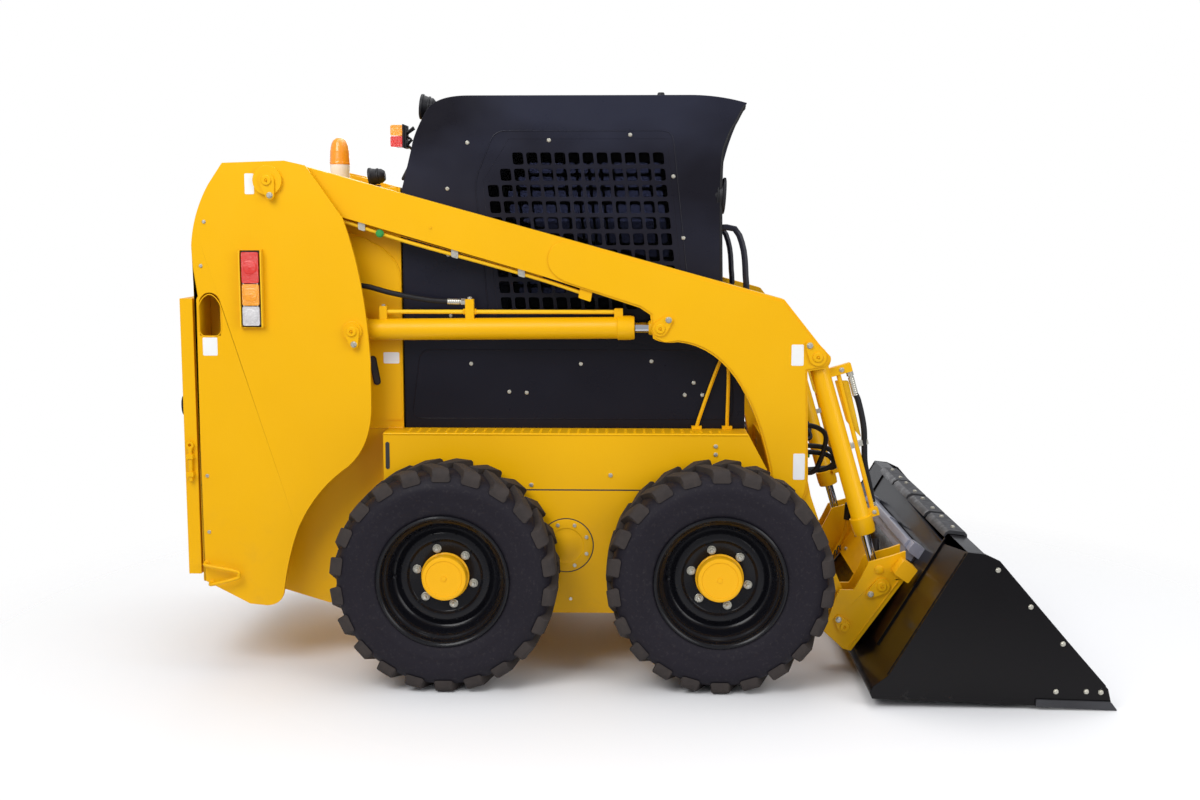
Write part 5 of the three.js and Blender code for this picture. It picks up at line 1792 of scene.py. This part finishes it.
# ---------------------------------------------------------------- seat
def soft_start(name, node, inset, corner, voxel):
    """A rounded block a little smaller than its CAD solid, as an even mesh for the cloth."""
    low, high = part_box(node)
    shell = bmesh.new()
    bmesh.ops.create_cube(shell, size=1)
    bmesh.ops.scale(shell, vec=high - low - Vector((2 * inset, 2 * inset, 2 * inset)), verts=shell.verts)
    bmesh.ops.translate(shell, vec=(low + high) / 2, verts=shell.verts)
    bmesh.ops.bevel(shell, geom=shell.edges[:], offset=corner, segments=5, profile=0.5, affect="EDGES")
    mesh = bpy.data.meshes.new(name)
    shell.to_mesh(mesh)
    shell.free()
    pad = bpy.data.objects.new(name, mesh)
    bpy.context.scene.collection.objects.link(pad)
    remesh = pad.modifiers.new("remesh", "REMESH")
    remesh.mode = "VOXEL"
    remesh.voxel_size = voxel
    even = bpy.data.meshes.new_from_object(pad.evaluated_get(bpy.context.evaluated_depsgraph_get()))
    pad.modifiers.clear()
    pad.data = even
    return pad


def inflate(pad, pressure, cap):
    """Blows the pad up as cloth, with no point moving further than the cap."""
    start = np.array([v.co for v in pad.data.vertices])
    cloth = pad.modifiers.new("cloth", "CLOTH")
    cloth.settings.use_pressure = True
    cloth.settings.uniform_pressure_force = pressure
    cloth.settings.effector_weights.gravity = 0
    scene = bpy.context.scene
    for step in range(1, 21):
        scene.frame_set(step)
    blown = pad.evaluated_get(bpy.context.evaluated_depsgraph_get()).to_mesh()
    move = np.array([v.co for v in blown.vertices]) - start
    far = np.linalg.norm(move, axis=1, keepdims=True)
    move *= np.minimum(1, cap / np.maximum(far, 1e-9))
    pad.modifiers.clear()
    scene.frame_set(1)
    pad.data.vertices.foreach_set("co", (start + move).ravel())
    pad.data.update()


def press_seams(pad, seams, face, depth, width):
    """Presses sewn channels into the side that faces +face: each seam is (axis, place, low, high)."""
    normals = np.array([v.normal for v in pad.data.vertices])
    points = np.array([v.co for v in pad.data.vertices])
    push = np.zeros(len(points))
    for axis, place, low, high in seams:
        other = 3 - axis - face
        near = np.exp(-(((points[:, axis] - place) / width) ** 2))
        inside = (points[:, other] > low) & (points[:, other] < high)
        push = np.maximum(push, near * inside)
    push *= np.clip(normals[:, face], 0, 1)
    points[:, face] -= push * depth
    pad.data.vertices.foreach_set("co", points.ravel())
    pad.data.update()


# For each pad: the axis its face looks along, and its seams as (axis, place, low, high) in metres.
SEAT_X = REAR_AXLE / 1000
SEAMS = {
    "seat_cushion": (2, [
        (1, -0.13, SEAT_X + 0.17, SEAT_X + 0.54), (1, 0.13, SEAT_X + 0.17, SEAT_X + 0.54),
        (0, SEAT_X + 0.29, -0.13, 0.13), (0, SEAT_X + 0.42, -0.13, 0.13),
    ]),
    "seat_backrest": (0, [
        (1, -0.12, 0.9, 1.38), (1, 0.12, 0.9, 1.38), (2, 1.02, -0.12, 0.12), (2, 1.15, -0.12, 0.12),
        (2, 1.28, -0.12, 0.12),
    ]),
}


def seat():
    """Cushion and backrest in padded vinyl."""
    for node, (face, seams) in SEAMS.items():
        pad = soft_start(f"{node}_look", node, 0.013, 0.03, 0.006)
        inflate(pad, 4, 0.012)
        press_seams(pad, seams, face, 0.009, 0.008)
        pad.data.materials.clear()
        pad.data.materials.append(MAT["vinyl"])
        pad.data.polygons.foreach_set("use_smooth", [True] * len(pad.data.polygons))
        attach(pad, "chassis")
        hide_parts(node)


def seat_trim():
    """Welts round both pads, and the cushion's shell."""
    trim = Piece("seat_trim", "chassis")
    x0, x1, y0, y1, z0, z1 = box_of("seat_cushion")
    for z in (z0 + 26, z1 - 26):
        welt = rounded(rectangle(x0 + 7, x1 - 7, y0 + 7, y1 - 7), 44, 6)
        trim.loop([(x, y, z) for x, y in welt], 3.4, 8, "vinyl")
    trim.add(block(x0 + 10, x1 - 10, y0 + 12, y1 - 12, z0 - 8, z0 + 8), MAT["trim"])
    x0, x1, y0, y1, z0, z1 = box_of("seat_backrest")
    for x in (x0 + 26, x1 - 26):
        welt = rounded(rectangle(y0 + 7, y1 - 7, z0 + 7, z1 - 7), 44, 6)
        trim.loop([(x, y, z) for y, z in welt], 3.4, 8, "vinyl")
    trim.build(0.8, 34)


# ---------------------------------------------------------------- stage
def surroundings():
    """A soft grey-blue sky that lights the machine, and plain white behind it."""
    world = bpy.data.worlds.new("world")
    bpy.context.scene.world = world
    world.use_nodes = True
    nodes, links = world.node_tree.nodes, world.node_tree.links
    background = nodes["Background"]
    background.inputs["Color"].default_value = (0.93, 0.95, 1.0, 1)
    background.inputs["Strength"].default_value = 0.54
    white = nodes.new("ShaderNodeBackground")
    white.inputs["Color"].default_value = (1, 1, 1, 1)
    white.inputs["Strength"].default_value = 1
    path = nodes.new("ShaderNodeLightPath")
    either = nodes.new("ShaderNodeMath")
    either.operation = "MAXIMUM"
    links.new(path.outputs["Is Camera Ray"], either.inputs[0])
    links.new(path.outputs["Is Transmission Ray"], either.inputs[1])
    mix = nodes.new("ShaderNodeMixShader")
    links.new(either.outputs["Value"], mix.inputs[0])
    links.new(background.outputs[0], mix.inputs[1])
    links.new(white.outputs[0], mix.inputs[2])
    links.new(mix.outputs[0], nodes["World Output"].inputs["Surface"])


def stage_floor():
    floor = Shader("stage_floor", (0.86, 0.86, 0.87), 0.6)
    mesh = bpy.data.meshes.new("stage_floor")
    half = 9
    corners = [(x, y, 0) for x, y in rectangle(-half, half, -half, half)]
    mesh.from_pydata(corners, [], [(0, 1, 2, 3)])
    mesh.materials.append(floor.material)
    ground = bpy.data.objects.new("stage_floor", mesh)
    bpy.context.scene.collection.objects.link(ground)
    fade_floor(floor)
    return ground


def stage_light(name, at, size, power):
    """A square light that looks at the machine's middle."""
    data = bpy.data.lights.new(name, "AREA")
    data.size = size
    data.energy = power
    light = bpy.data.objects.new(name, data)
    light.location = at
    light.rotation_euler = (Vector((0, 0, 0.9)) - Vector(at)).to_track_quat("-Z", "Y").to_euler()
    bpy.context.scene.collection.objects.link(light)
    return light


def stage():
    surroundings()
    stage_floor()
    stage_light("stage_key", (-2.6, -4.2, 4.6), 3.0, 195)
    stage_light("stage_fill", (3.8, -4.0, 2.8), 3.0, 95)
    stage_light("stage_top", (0.2, 0.6, 5.4), 4.0, 128)
    stage_light("stage_back", (-1.0, 5.0, 3.2), 3.5, 78)
    bpy.context.scene.view_settings.view_transform = "Standard"


def fade_floor(floor):
    """The floor keeps the shadow under the machine and melts into the white background away from it."""
    nodes, links = floor.nodes, floor.links
    clear = nodes.new("ShaderNodeBsdfTransparent")
    mix = nodes.new("ShaderNodeMixShader")
    length = nodes.new("ShaderNodeVectorMath")
    length.operation = "LENGTH"
    links.new(floor.place, length.inputs[0])
    fade = floor.ranged(length.outputs["Value"], 1.5, 2.9, 0, 1)
    links.new(fade, mix.inputs[0])
    links.new(floor.shader.outputs[0], mix.inputs[1])
    links.new(clear.outputs[0], mix.inputs[2])
    links.new(mix.outputs[0], nodes["Material Output"].inputs["Surface"])


wheels()
for side_name, side_sign in SIDES:
    lift_cylinder(side_name, side_sign)
    tilt_cylinder(side_name, side_sign)
    side_screen(side_name, side_sign)
    cab_fixings(side_name, side_sign)
    upright_details(side_name, side_sign)
    arm_details(side_name, side_sign)
    tilt_hose(side_name, side_sign)
    chassis_details(side_name, side_sign)
    hitch_details(side_name, side_sign)
crossmember_details()
chassis_ends()
engine_details()
radiator()
door_details()
hood_details()
bucket_details()
cab_details()
cab_panes()
controls()
seat()
seat_trim()
beacon()
for side_name, side_sign in SIDES:
    tail_lamp(side_name, side_sign)
roof_lamps()
hood_lamp()
stage()
